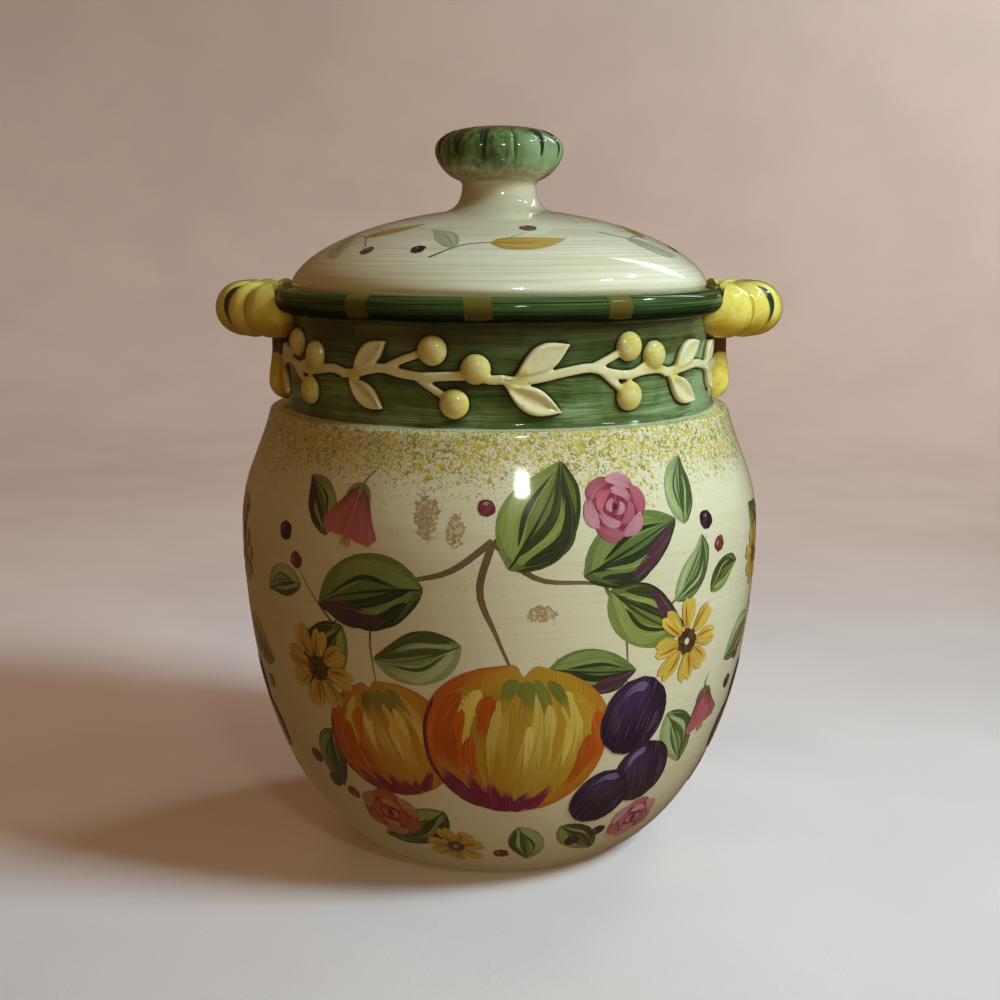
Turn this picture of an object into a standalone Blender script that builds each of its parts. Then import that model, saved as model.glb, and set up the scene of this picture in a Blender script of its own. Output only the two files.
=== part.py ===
"""A ceramic canister: a round-bellied jar with a rolled rim and two fluted lug handles, and a
domed lid with a fluted knob that lifts off. The pieces are the ones a potter forms: the turned
jar, the lugs and the drops under them, the press-moulded sprigs of the vine round the neck,
the turned lid and its knob. Lengths are in metres, +Z is up, the jar's front faces -Y, and the
origin is the centre of the foot."""

import math

import bmesh
import bpy
from mathutils import Vector

# Between two pieces that lie against each other, and where the glaze rounds a small edge
SEAT_GAP = 0.0003
EDGE_BREAK = 0.0007

# Jar body. Its neck, rim and mouth are placed from the belly's radius and the rim's height.
RIM_HEIGHT = 0.2050
NECK_HEIGHT = 0.0437
SHOULDER_HEIGHT = RIM_HEIGHT - NECK_HEIGHT
BELLY_RADIUS = 0.0951
FOOT_INSET = 0.0444
FOOT_RADIUS = BELLY_RADIUS - FOOT_INSET
FOOT_RING_WIDTH = 0.007
FOOT_RECESS = 0.0025
SHOULDER_INSET = 0.0111
SHOULDER_RADIUS = BELLY_RADIUS - SHOULDER_INSET
SHOULDER_ROUND = 0.0018
NECK_INSET = 0.0177
NECK_RADIUS = BELLY_RADIUS - NECK_INSET
RIM_OVERHANG = 0.0056
RIM_RADIUS = NECK_RADIUS + RIM_OVERHANG
RIM_BEAD = 0.0044
JAR_WALL = 0.006
JAR_FLOOR = 0.008
MOUTH_INSET = 0.0130
MOUTH_RADIUS = RIM_RADIUS - MOUTH_INSET
MOUTH_LIP = 0.012
LEDGE_INSET = 0.0068
LEDGE_RADIUS = RIM_RADIUS - LEDGE_INSET
LEDGE_DEPTH = 0.0016

# How the jar's side bends, as shares of the way out and of the way up between two heights. The
# belly's share is of the shoulder's height.
BELLY_HEIGHT = 0.744 * SHOULDER_HEIGHT
FOOT_FLARE = (0.376, 0.070)
LOWER_BELLY = 0.332
UPPER_BELLY = 0.436
SHOULDER_LEAN = (0.378, 0.397)

# Lid
LID_CLEARANCE = 0.0014
LID_RADIUS = LEDGE_RADIUS - LID_CLEARANCE
LID_RISE = 0.0265
LID_WALL = 0.005
LID_EDGE = 0.0022
FLANGE_CLEARANCE = 0.002
FLANGE_WALL = 0.004
FLANGE_DEPTH = 0.010

# Knob
KNOB_SEAT_RADIUS = 0.017
STEM_RADIUS = 0.0133
STEM_HEIGHT = 0.0082
KNOB_RADIUS = 0.0230
KNOB_UNDERCUT = 0.0120
KNOB_CROWN = 0.0091
KNOB_FLUTES = 13
KNOB_FLUTE_HALF_ANGLE = 6.9
KNOB_FLUTE_DEPTH = 0.0012

# Handles: each is the outer half of a fat ring with a web across it, and a drop under it. They
# are placed from the rim, and the drop's foot from the shoulder. Grooves across the ring are at
# these angles from its outermost point, in degrees.
LUG_INSET = 0.0120
LUG_CENTRE = RIM_RADIUS - LUG_INSET
LUG_OVERHANG = 0.0200
LUG_REACH = RIM_RADIUS + LUG_OVERHANG
LUG_HALF_LENGTH = 0.3735 * RIM_RADIUS
LUG_BELOW_RIM = 0.0080
LUG_HEIGHT = RIM_HEIGHT - LUG_BELOW_RIM
LUG_ROLL_HALF_HEIGHT = 0.00975
LUG_ROLL_HALF_WIDTH = 0.0100
LUG_WEB_HALF_THICKNESS = 0.0035
LUG_GROOVES = (-55, -35, 35, 55)
LUG_GROOVE_HALF_ANGLE = 5.0
LUG_GROOVE_DEPTH = 0.0013
DROP_TOP_RADIUS = 0.0053
DROP_FOOT_RADIUS = 0.0068
DROP_INSET = 0.0005
DROP_FOOT_RISE = 0.0087
DROP_FOOT_HEIGHT = SHOULDER_HEIGHT + DROP_FOOT_RISE
DROP_TIP_RISE = 0.0021
DROP_TIP_HEIGHT = SHOULDER_HEIGHT + DROP_TIP_RISE

# Vine round the neck, four sprigs on each side between the drops
VINE_HEIGHT = SHOULDER_HEIGHT + 0.396 * NECK_HEIGHT
SPRIG_LEAD = math.radians(3.75)
DROP_MARGIN = math.radians(5.3)
STEM_HALF_WIDTH = 0.0016
STEM_OVERRUN = 0.0030
STALK_HALF_WIDTH = 0.0012
BERRY_RADIUS = 0.0052
BERRY_FLATTENING = 0.72
BERRY_LIFT = 0.0006
LEAF_HALF_WIDTH = 0.0044
LEAF_FLATTENING = 0.45
LEAF_CREASE = 0.55

# How finely round shapes are cut into facets
JAR_STEPS = 48
LID_STEPS = 48
LUG_STEPS = 72
KNOB_STEPS = 52

# Each sprig's leaf node is at an angle from the middle of its side, in degrees. Its lines are
# drawn flat from the node: along the neck in hundredths of the neck's radius, then up from the
# vine's height in hundredths of the neck's height.
SPRIGS = [
    {"node": -79.0,
     "stem": [(0, 0.9), (10.3, 3.7), (19.4, 4.6), (29.7, 1.4), (40.1, -0.5), (50.4, 1.4),
              (59.4, 3.2)],
     "stalks": [[(10.3, 3.2), (19.4, 10.5), (27.1, 17.4)],
                [(24.5, 2.7), (32.3, -5.9), (40.1, -12.8)],
                [(31, 1.4), (38.8, 5.9), (45.2, 10.5)]],
     "berries": [(30, 19.7), (41.7, -16), (47, 11.9)],
     "leaves": [[(-1.3, 1.8), (5.2, 7.8), (11.6, 12.4), (18.1, 14.6)],
                [(-3.9, -0.9), (0, -11.4), (6.5, -20.1), (12.9, -24.3)]]},
    {"node": -36.9,
     "stem": [(0, 1.4), (7.8, 4.6), (14.2, 5.9), (23.3, 2.7), (33.6, 0.9), (43.9, 1.8),
              (54.3, 2.3), (60.7, -0.5)],
     "stalks": [[(14.2, 5.5), (23.3, 12.8), (33.6, 18.8)],
                [(28.4, 2.3), (36.2, -6.9), (42.6, -13.7)]],
     "berries": [(36.7, 20.1), (45.9, -18.3), (54.8, 7.1)],
     "leaves": [[(-1.3, 2.3), (3.9, 14.2), (10.3, 22), (15.8, 26.1)],
                [(-3.9, -0.9), (0, -11.9), (6.5, -20.6), (14, -24.3)]]},
    {"node": 4.2,
     "stem": [(0, -1.4), (10.3, 0.9), (20.7, 4.6), (31, 6.9), (40.1, 2.7), (49.1, 0.5),
              (56.8, 2.7), (65.9, 3.2)],
     "stalks": [[(31, 6.4), (40.1, 13.3), (47.8, 19.7)],
                [(36.2, 4.1), (42.6, -5), (47.8, -12.4)],
                [(51.7, 0.9), (58.1, 6.4), (62, 11.4)]],
     "berries": [(49.6, 21.5), (50.1, -15.1), (63.6, 13.7)],
     "leaves": [[(-1.3, 1.4), (6.5, 13.3), (14.2, 20.6), (21.7, 24.7)],
                [(-5.2, -4.6), (0, -12.8), (9, -21.1), (18.5, -24.7)]]},
    {"node": 48.9,
     "stem": [(0, 0.9), (9, 2.7), (18.1, 3.7), (27.1, 1.4), (37.5, -1.4), (47.8, -0.5),
              (56.8, 0.9)],
     "stalks": [[(24.5, 2.3), (32.3, -7.3), (38.8, -14.2)],
                [(37.5, -0.9), (43.9, 2.7)]],
     "berries": [(41.6, -17.4), (48.1, 4.1)],
     "leaves": [[(-1.3, 1.8), (5.2, 11.9), (12.9, 18.3), (19.9, 21.5)],
                [(-5.2, -2.7), (0, -12.4), (7.8, -20.6), (16.5, -24.7)]]},
]

CREAM = (0.80, 0.75, 0.58)
LUG_YELLOW = (0.72, 0.52, 0.10)
KNOB_GREEN = (0.20, 0.36, 0.14)
VINE_CREAM = (0.82, 0.74, 0.45)


def clear_scene():
    for obj in list(bpy.data.objects):
        bpy.data.objects.remove(obj, do_unlink=True)


def glaze(name, colour, roughness=0.12):
    material = bpy.data.materials.new(name)
    material.use_nodes = True
    shader = material.node_tree.nodes["Principled BSDF"]
    shader.inputs["Base Color"].default_value = (*colour, 1.0)
    shader.inputs["Roughness"].default_value = roughness
    shader.inputs["Metallic"].default_value = 0.0
    return material


def new_collection(name, helper=False):
    collection = bpy.data.collections.new(name)
    bpy.context.scene.collection.children.link(collection)
    collection.hide_render = helper
    return collection


def add_object(name, data, collection):
    obj = bpy.data.objects.new(name, data)
    collection.objects.link(obj)
    return obj


def turned(name, profile, steps, collection):
    """A solid turned round Z from a profile that starts on the axis, runs out, down the outer
    side and back to the axis."""
    mesh = bpy.data.meshes.new(name)
    edges = [(i, i + 1) for i in range(len(profile) - 1)]
    mesh.from_pydata([(r, 0.0, z) for r, z in profile], edges, [])
    obj = add_object(name, mesh, collection)
    screw = obj.modifiers.new("Turn", "SCREW")
    screw.axis = "Z"
    screw.steps = screw.render_steps = steps
    screw.use_merge_vertices = True
    screw.merge_threshold = 0.00002
    screw.use_smooth_shade = True
    return obj


def made_mesh(obj):
    """Turns an object with modifiers, or a curve, into a plain closed mesh object."""
    graph = bpy.context.evaluated_depsgraph_get()
    mesh = bpy.data.meshes.new_from_object(obj.evaluated_get(graph))
    work = bmesh.new()
    work.from_mesh(mesh)
    bmesh.ops.remove_doubles(work, verts=work.verts, dist=0.00001)
    work.to_mesh(mesh)
    work.free()
    made = add_object(obj.name + "_made", mesh, obj.users_collection[0])
    made.matrix_world = obj.matrix_world
    name = obj.name
    bpy.data.objects.remove(obj, do_unlink=True)
    made.name = name
    return made


def finish(obj, material, smooth_angle=50):
    """Gives a piece its material and smooth shading with its hard edges kept."""
    obj.data.materials.clear()
    obj.data.materials.append(material)
    obj.data.shade_smooth()
    obj.data.set_sharp_from_angle(angle=math.radians(smooth_angle))
    return obj


def hide_helper(obj):
    obj.hide_render = True
    obj.display_type = "WIRE"


def add_boolean(obj, other, operation):
    modifier = obj.modifiers.new(operation.title(), "BOOLEAN")
    modifier.operation = operation
    modifier.object = other
    modifier.solver = "EXACT"


def superellipse(centre, half_width, half_height, power, start, end, count):
    """Points of a rounded-box curve from one angle to another, in degrees from +R to +Z."""
    points = []
    for i in range(count + 1):
        angle = math.radians(start + (end - start) * i / count)
        c, s = math.cos(angle), math.sin(angle)
        r = centre[0] + half_width * math.copysign(abs(c) ** (2 / power), c)
        z = centre[1] + half_height * math.copysign(abs(s) ** (2 / power), s)
        points.append((r, z))
    return points


def bezier(p0, p1, p2, p3, count):
    points = []
    for i in range(count + 1):
        t = i / count
        a, b, c, d = (1 - t) ** 3, 3 * t * (1 - t) ** 2, 3 * t * t * (1 - t), t**3
        points.append(tuple(a * w + b * x + c * y + d * z for w, x, y, z in zip(p0, p1, p2, p3)))
    return points


def smooth_path(points, spacing):
    """A smooth curve through the points, with a point about every spacing."""
    ends = [2 * Vector(points[0]) - Vector(points[1]), 2 * Vector(points[-1]) - Vector(points[-2])]
    knots = [ends[0], *map(Vector, points), ends[1]]
    path = []
    for before, a, b, after in zip(knots, knots[1:], knots[2:], knots[3:]):
        count = max(1, round((b - a).length / spacing))
        for i in range(count):
            t = i / count
            path.append(0.5 * (2 * a + (b - before) * t
                               + (2 * before - 5 * a + 4 * b - after) * t * t
                               + (3 * a - before - 3 * b + after) * t**3))
    path.append(knots[-2])
    return path


def moved_in(points, distance):
    """The same line moved towards the axis side by distance, along its own normals."""
    moved = []
    for i, (r, z) in enumerate(points):
        a, b = points[max(i - 1, 0)], points[min(i + 1, len(points) - 1)]
        along = Vector((b[0] - a[0], b[1] - a[1])).normalized()
        moved.append((r - along.y * distance, z + along.x * distance))
    return moved


def cut_below(points, height):
    """The part of a rising line that lies above a height, starting exactly on it."""
    for i in range(1, len(points)):
        (r0, z0), (r1, z1) = points[i - 1], points[i]
        if z0 <= height < z1:
            share = (height - z0) / (z1 - z0)
            return [(r0 + (r1 - r0) * share, height), *points[i:]]
    return points


def belly_line(count=9):
    """The jar's outer line from the foot to the belly, flared at the foot and upright at the
    belly."""
    flare = (FOOT_RADIUS + FOOT_FLARE[0] * FOOT_INSET, FOOT_FLARE[1] * BELLY_HEIGHT)
    return bezier((FOOT_RADIUS, 0.0), flare, (BELLY_RADIUS, LOWER_BELLY * BELLY_HEIGHT),
                  (BELLY_RADIUS, BELLY_HEIGHT), count)


def shoulder_line(count=6):
    """From the belly up to the edge of the shoulder."""
    rise = SHOULDER_HEIGHT - BELLY_HEIGHT
    lean = (SHOULDER_RADIUS + SHOULDER_LEAN[0] * SHOULDER_INSET,
            SHOULDER_HEIGHT - SHOULDER_LEAN[1] * rise)
    return bezier((BELLY_RADIUS, BELLY_HEIGHT), (BELLY_RADIUS, BELLY_HEIGHT + UPPER_BELLY * rise),
                  lean, (SHOULDER_RADIUS, SHOULDER_HEIGHT), count)


def neck_line():
    """Over the shoulder's round edge, in to the neck and up it to the rim's bead."""
    top = SHOULDER_HEIGHT + SHOULDER_ROUND
    bead_foot = RIM_HEIGHT - 2 * RIM_BEAD
    return [(SHOULDER_RADIUS - 0.6 * SHOULDER_ROUND, top - 0.3 * SHOULDER_ROUND),
            (NECK_RADIUS + SHOULDER_ROUND, top),
            (NECK_RADIUS + 0.3 * SHOULDER_ROUND, top + 0.3 * SHOULDER_ROUND),
            (NECK_RADIUS, top + SHOULDER_ROUND), (NECK_RADIUS, bead_foot - 0.23 * RIM_BEAD),
            (NECK_RADIUS + 0.14 * RIM_BEAD, bead_foot + 0.02 * RIM_BEAD)]


def bead_line(count=8):
    """The rim's rolled bead, from its underside over the outside to just past its top."""
    centre = (RIM_RADIUS - RIM_BEAD, RIM_HEIGHT - RIM_BEAD)
    return superellipse(centre, RIM_BEAD, RIM_BEAD, 2.0, -78, 112, count)


def jar_outer_line():
    return belly_line() + shoulder_line()[1:] + neck_line() + bead_line()


def ledge_height():
    return RIM_HEIGHT - LEDGE_DEPTH


def jar_profile():
    ledge = ledge_height()
    inner_neck = NECK_RADIUS - JAR_WALL
    inside = moved_in(belly_line(7) + shoulder_line(5)[1:], JAR_WALL)
    inside = [(0.0, JAR_FLOOR), *cut_below(inside, JAR_FLOOR)]
    inside += [(inner_neck, SHOULDER_HEIGHT), (inner_neck, ledge - MOUTH_LIP),
               (MOUTH_RADIUS, ledge - 0.7 * MOUTH_LIP), (MOUTH_RADIUS, ledge - EDGE_BREAK),
               (MOUTH_RADIUS + EDGE_BREAK, ledge), (LEDGE_RADIUS, ledge)]
    ring = FOOT_RADIUS - FOOT_RING_WIDTH
    foot = [(ring, 0.0), (ring - EDGE_BREAK, FOOT_RECESS), (0.0, FOOT_RECESS)]
    return inside + list(reversed(jar_outer_line())) + foot


def jar_cutter(collection):
    """The jar's outside up to the widest part of its rim and the space above that, a seat gap
    larger, for cutting what is luted on to it."""
    line = moved_in(jar_outer_line(), -SEAT_GAP)
    widest = max(p for p in line if p[1] > RIM_HEIGHT - 2 * RIM_BEAD)
    line = [p for p in line if p[1] < widest[1]] + [(RIM_RADIUS + SEAT_GAP, widest[1])]
    top, low = LUG_HEIGHT + 2 * LUG_ROLL_HALF_HEIGHT, -JAR_FLOOR
    profile = [(0.0, top), (line[-1][0], top), *reversed(line), (line[0][0], low), (0.0, low)]
    cutter = turned("cutter_jar_outside", profile, JAR_STEPS, collection)
    hide_helper(cutter)
    return cutter


def dome_height(radius):
    """Height of the lid's outer surface at a distance from its axis."""
    share = min(radius / LID_RADIUS, 1.0)
    return lid_edge_height() + LID_RISE * (1 - share**1.9) ** 0.61


def lid_foot_height():
    return ledge_height() + SEAT_GAP


def lid_edge_height():
    return lid_foot_height() + LID_EDGE


def dome_line(inner_radius, count=8):
    """The dome from a radius near its crown out to its edge, with closer points at the edge."""
    points = []
    for i in range(count + 1):
        share = math.sin(math.radians(90 * i / count))
        radius = inner_radius + (LID_RADIUS - inner_radius) * share
        points.append((radius, dome_height(radius)))
    return points


def crown_height():
    return dome_height(KNOB_SEAT_RADIUS)


def lid_profile():
    foot = lid_foot_height()
    flange_outer = MOUTH_RADIUS - FLANGE_CLEARANCE
    flange_inner = flange_outer - FLANGE_WALL
    flange_foot = ledge_height() - FLANGE_DEPTH
    outside = [(0.0, crown_height()), *dome_line(KNOB_SEAT_RADIUS)]
    edge = superellipse((LID_RADIUS - LID_EDGE, foot + LID_EDGE), LID_EDGE, LID_EDGE, 2.0, -30, -90, 2)
    flange = [(flange_outer, foot), (flange_outer, flange_foot + EDGE_BREAK),
              (flange_outer - EDGE_BREAK, flange_foot), (flange_inner, flange_foot)]
    inside = [(r, dome_height(r) - LID_WALL) for r in
              (flange_inner, 0.9 * flange_inner, 0.72 * flange_inner, 0.48 * flange_inner,
               KNOB_SEAT_RADIUS)]
    return outside + edge + flange + inside + [(0.0, crown_height() - LID_WALL)]


def knob_profile():
    foot = crown_height() + SEAT_GAP
    waist = foot + STEM_HEIGHT
    widest = waist + KNOB_UNDERCUT
    crown = superellipse((0.0, widest), KNOB_RADIUS, KNOB_CROWN, 2.5, 90, 0, 8)
    crown[0] = (0.0, widest + KNOB_CROWN)
    overhang = KNOB_RADIUS - STEM_RADIUS
    under = superellipse((STEM_RADIUS, widest), overhang, 0.75 * KNOB_UNDERCUT, 1.6, 0, -82, 6)[1:]
    spread = KNOB_SEAT_RADIUS - STEM_RADIUS
    flare = [(STEM_RADIUS, waist), (STEM_RADIUS + 0.1 * spread, foot + 0.55 * STEM_HEIGHT),
             (STEM_RADIUS + 0.3 * spread, foot + 0.22 * STEM_HEIGHT), (KNOB_SEAT_RADIUS, foot),
             (0.0, foot)]
    return crown + under + flare


def press_grooves(mesh, angles, half_angle, depth, inner, outer, low, high):
    """Presses upright grooves into a turned shape at angles round it, in degrees. They reach
    full depth at the outer radius, fade to nothing at the inner one, and stay between two
    heights."""
    for vertex in mesh.vertices:
        radius = math.hypot(vertex.co.x, vertex.co.y)
        if radius <= inner or not low <= vertex.co.z <= high:
            continue
        at = math.degrees(math.atan2(vertex.co.y, vertex.co.x))
        away = min(abs((at - angle + 180) % 360 - 180) for angle in angles)
        groove = max(0.0, 1 - away / half_angle) ** 1.2
        reach = min(1.0, (radius - inner) / (outer - inner))
        shrink = 1 - depth * groove * reach / radius
        vertex.co.x *= shrink
        vertex.co.y *= shrink


def make_jar_body(collection):
    jar = turned("jar_body", jar_profile(), JAR_STEPS, collection)
    return finish(jar, glaze("cream_glaze", CREAM))


def make_lid_dome(collection):
    lid = turned("lid_dome", lid_profile(), LID_STEPS, collection)
    return finish(lid, glaze("lid_cream_glaze", CREAM))


def make_lid_knob(collection):
    profile = knob_profile()
    knob = made_mesh(turned("lid_knob", profile, KNOB_STEPS, collection))
    widest = crown_height() + SEAT_GAP + STEM_HEIGHT + KNOB_UNDERCUT
    angles = [360 * (i + 0.5) / KNOB_FLUTES - 90 for i in range(KNOB_FLUTES)]
    press_grooves(knob.data, angles, KNOB_FLUTE_HALF_ANGLE, KNOB_FLUTE_DEPTH, 0.8 * STEM_RADIUS,
                  KNOB_RADIUS, widest - 0.7 * KNOB_UNDERCUT, widest + KNOB_CROWN)
    return finish(knob, glaze("knob_green_glaze", KNOB_GREEN))


def lug_profile(growth=0.0):
    """Half a section through a lug's ring and web, larger all round by the growth."""
    web = LUG_WEB_HALF_THICKNESS + growth
    half_width, half_height = LUG_ROLL_HALF_WIDTH + growth, LUG_ROLL_HALF_HEIGHT + growth
    meeting = math.degrees(math.asin(web / half_height))
    section = superellipse((LUG_HALF_LENGTH - LUG_ROLL_HALF_WIDTH, 0.0), half_width, half_height,
                           2.0, 180 - meeting, meeting - 180, 14)
    return [(0.0, web), *section, (0.0, -web)]


def place_lug(obj, side):
    """Draws the ring out to the lug's reach and stands it half out of the neck."""
    for vertex in obj.data.vertices:
        vertex.co.x *= (LUG_REACH - LUG_CENTRE) / LUG_HALF_LENGTH
    obj.location = (side * LUG_CENTRE, 0.0, LUG_HEIGHT)


def make_handle(side, collection, cutter):
    """A lug: a fluted ring with a web across it, cut away where the jar is."""
    name = "handle_right" if side > 0 else "handle_left"
    lug = made_mesh(turned(name, lug_profile(), LUG_STEPS, collection))
    press_grooves(lug.data, [90 - side * 90 + angle for angle in LUG_GROOVES],
                  LUG_GROOVE_HALF_ANGLE, LUG_GROOVE_DEPTH,
                  LUG_HALF_LENGTH - 2 * LUG_ROLL_HALF_WIDTH, LUG_HALF_LENGTH,
                  -LUG_ROLL_HALF_HEIGHT, LUG_ROLL_HALF_HEIGHT)
    place_lug(lug, side)
    add_boolean(lug, cutter, "DIFFERENCE")
    return finish(made_mesh(lug), glaze(name + "_yellow_glaze", LUG_YELLOW))


def lug_cutter(side, collection):
    """A lug's ring and web a seat gap larger, for cutting the drop that is luted under it."""
    cutter = made_mesh(turned("cutter_lug", lug_profile(SEAT_GAP), LUG_STEPS, collection))
    place_lug(cutter, side)
    hide_helper(cutter)
    return cutter


def tube(name, points, radii, collection, sides_level):
    """A round bar through the points with its own radius at each, as a closed mesh."""
    curve = bpy.data.curves.new(name, "CURVE")
    curve.dimensions = "3D"
    curve.bevel_depth = 1.0
    curve.bevel_resolution = sides_level
    curve.use_fill_caps = True
    spline = curve.splines.new("POLY")
    spline.points.add(len(points) - 1)
    for target, point, radius in zip(spline.points, points, radii):
        target.co = (*point, 1.0)
        target.radius = radius
    return made_mesh(add_object(name, curve, collection))


def make_drop(side, collection, cutters):
    """The drop that hangs down the neck from under a lug's web to the shoulder. Its top starts
    inside the web and is cut away there."""
    name = "handle_right_drop" if side > 0 else "handle_left_drop"
    bulge = DROP_FOOT_HEIGHT - DROP_TIP_HEIGHT
    stations = [(LUG_HEIGHT, DROP_TOP_RADIUS),
                (0.5 * (LUG_HEIGHT + DROP_FOOT_HEIGHT), DROP_TOP_RADIUS),
                (DROP_FOOT_HEIGHT + 0.66 * DROP_FOOT_RADIUS,
                 0.5 * (DROP_TOP_RADIUS + DROP_FOOT_RADIUS))]
    for angle in (0, 30, 55, 75, 88):
        turn = math.radians(angle)
        stations.append((DROP_FOOT_HEIGHT - bulge * math.sin(turn), DROP_FOOT_RADIUS * math.cos(turn)))
    centre = NECK_RADIUS + DROP_INSET
    points = [(side * centre, 0.0, z) for z, _ in stations]
    drop = tube(name, points, [radius for _, radius in stations], collection, 4)
    for cutter in cutters:
        add_boolean(drop, cutter, "DIFFERENCE")
    return finish(made_mesh(drop), glaze(name + "_yellow_glaze", LUG_YELLOW))


def drawn(points):
    """Points of a sprig in metres, along the neck and up from the vine's height."""
    return [(along * NECK_RADIUS / 100, up * NECK_HEIGHT / 100) for along, up in points]


def flat(along, up, out=0.0):
    """A point of the vine as it lies flat: along the neck, out of it and up."""
    return (along, -out, VINE_HEIGHT + up)


def scale_out(obj, share):
    for vertex in obj.data.vertices:
        vertex.co.y *= share
    return obj


def make_leaf(points, collection):
    """A pointed leaf along a line, thin, with a crease down its middle."""
    path = smooth_path([flat(*p) for p in drawn(points)], 0.64 * LEAF_HALF_WIDTH)
    last = len(path) - 1
    radii = []
    for i in range(last + 1):
        t = (i + 0.15) / (last + 0.3)
        radii.append(LEAF_HALF_WIDTH * (math.sin(math.pi * t**0.85) ** 0.75))
    leaf = scale_out(tube("leaf", path, radii, collection, 2), LEAF_FLATTENING)
    for vertex in leaf.data.vertices:
        nearest = min(range(last + 1), key=lambda i: (vertex.co - path[i]).length)
        to_side = vertex.co - path[nearest]
        to_side.y = 0.0
        if vertex.co.y < 0 and to_side.length < 0.25 * radii[nearest]:
            vertex.co.y *= LEAF_CREASE
    return leaf


def make_berry(point, collection):
    mesh = bpy.data.meshes.new("berry")
    work = bmesh.new()
    bmesh.ops.create_uvsphere(work, u_segments=10, v_segments=6, radius=BERRY_RADIUS)
    work.to_mesh(mesh)
    work.free()
    berry = scale_out(add_object("berry", mesh, collection), BERRY_FLATTENING)
    berry.location = flat(*drawn([point])[0], out=BERRY_LIFT)
    return berry


def cut_flat(work, point, normal):
    """Cuts away the side that the normal points to, and closes the cut."""
    geometry = work.verts[:] + work.edges[:] + work.faces[:]
    found = bmesh.ops.bisect_plane(work, geom=geometry, plane_co=point, plane_no=normal,
                                   clear_outer=True, dist=1e-7)
    edges = [e for e in found["geom_cut"] if isinstance(e, bmesh.types.BMEdge)]
    bmesh.ops.holes_fill(work, edges=edges, sides=0)


def wrap_round_neck(mesh, node_angle):
    """Bends the flat sprig round the neck, with its leaf node at an angle from the front."""
    for vertex in mesh.vertices:
        angle = node_angle + vertex.co.x / NECK_RADIUS
        radius = NECK_RADIUS - vertex.co.y
        vertex.co.x = radius * math.sin(angle)
        vertex.co.y = -radius * math.cos(angle)


def make_sprig(name, shape, start, end, turn, collection, helpers):
    """One sprig of the vine: a stem with two leaves and stalked berries. start and end are the
    angles from its node where it meets its neighbours or a drop."""
    left, right = start * NECK_RADIUS, end * NECK_RADIUS
    run = [(left - STEM_OVERRUN, 0.0), *drawn(shape["stem"]), (right + STEM_OVERRUN, 0.0)]
    path = smooth_path([flat(*p) for p in run], 3.1 * STEM_HALF_WIDTH)
    stem = tube(name, path, [STEM_HALF_WIDTH] * len(path), collection, 2)
    pieces = [make_leaf(points, helpers) for points in shape["leaves"]]
    for points in shape["stalks"]:
        line = smooth_path([flat(*p) for p in drawn(points)], 3.3 * STALK_HALF_WIDTH)
        pieces.append(tube("stalk", line, [STALK_HALF_WIDTH] * len(line), helpers, 2))
    pieces += [make_berry(point, helpers) for point in shape["berries"]]
    for piece in pieces:
        hide_helper(piece)
        add_boolean(stem, piece, "UNION")
    sprig = made_mesh(stem)
    work = bmesh.new()
    work.from_mesh(sprig.data)
    cut_flat(work, (0, -SEAT_GAP, 0), (0, 1, 0))
    cut_flat(work, (left + SEAT_GAP / 2, 0, 0), (-1, 0, 0))
    cut_flat(work, (right - SEAT_GAP / 2, 0, 0), (1, 0, 0))
    bmesh.ops.triangulate(work, faces=work.faces[:])
    work.to_mesh(sprig.data)
    work.free()
    wrap_round_neck(sprig.data, math.radians(shape["node"]) + turn)
    return finish(sprig, glaze(name + "_glaze", VINE_CREAM))


def make_vine(collection, helpers):
    """Four sprigs on the front and four on the back, from one drop to the other."""
    quarter = math.pi / 2
    nodes = [math.radians(shape["node"]) for shape in SPRIGS]
    joins = [-quarter + DROP_MARGIN, *(node - SPRIG_LEAD for node in nodes[1:]),
             quarter - DROP_MARGIN]
    for turn, side in ((0.0, "front"), (math.pi, "back")):
        for i, (shape, node) in enumerate(zip(SPRIGS, nodes)):
            name = f"vine_sprig_{side}_{i + 1}"
            start, end = joins[i] - node, joins[i + 1] - node
            make_sprig(name, shape, start, end, turn, collection, helpers)


def main():
    clear_scene()
    canister = new_collection("ceramic_canister")
    helpers = new_collection("cutters", helper=True)
    make_jar_body(canister)
    cutter = jar_cutter(helpers)
    for side in (-1, 1):
        make_handle(side, canister, cutter)
        make_drop(side, canister, (cutter, lug_cutter(side, helpers)))
    make_vine(canister, helpers)
    make_lid_dome(canister)
    make_lid_knob(canister)


main()
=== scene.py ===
"""Looks of a ceramic canister: its glazes, the moulded vine round its neck and its hand painting,
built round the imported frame. Lengths are in metres in the frame's own axes: +Z is up and the
jar's front faces -Y. Angles round the jar are counted from the front towards +X."""

import math
import random
from bisect import bisect_right

import bmesh
import bpy
from bpy.props import FloatProperty, FloatVectorProperty, IntProperty, PointerProperty
from mathutils import Matrix, Vector, noise


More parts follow.
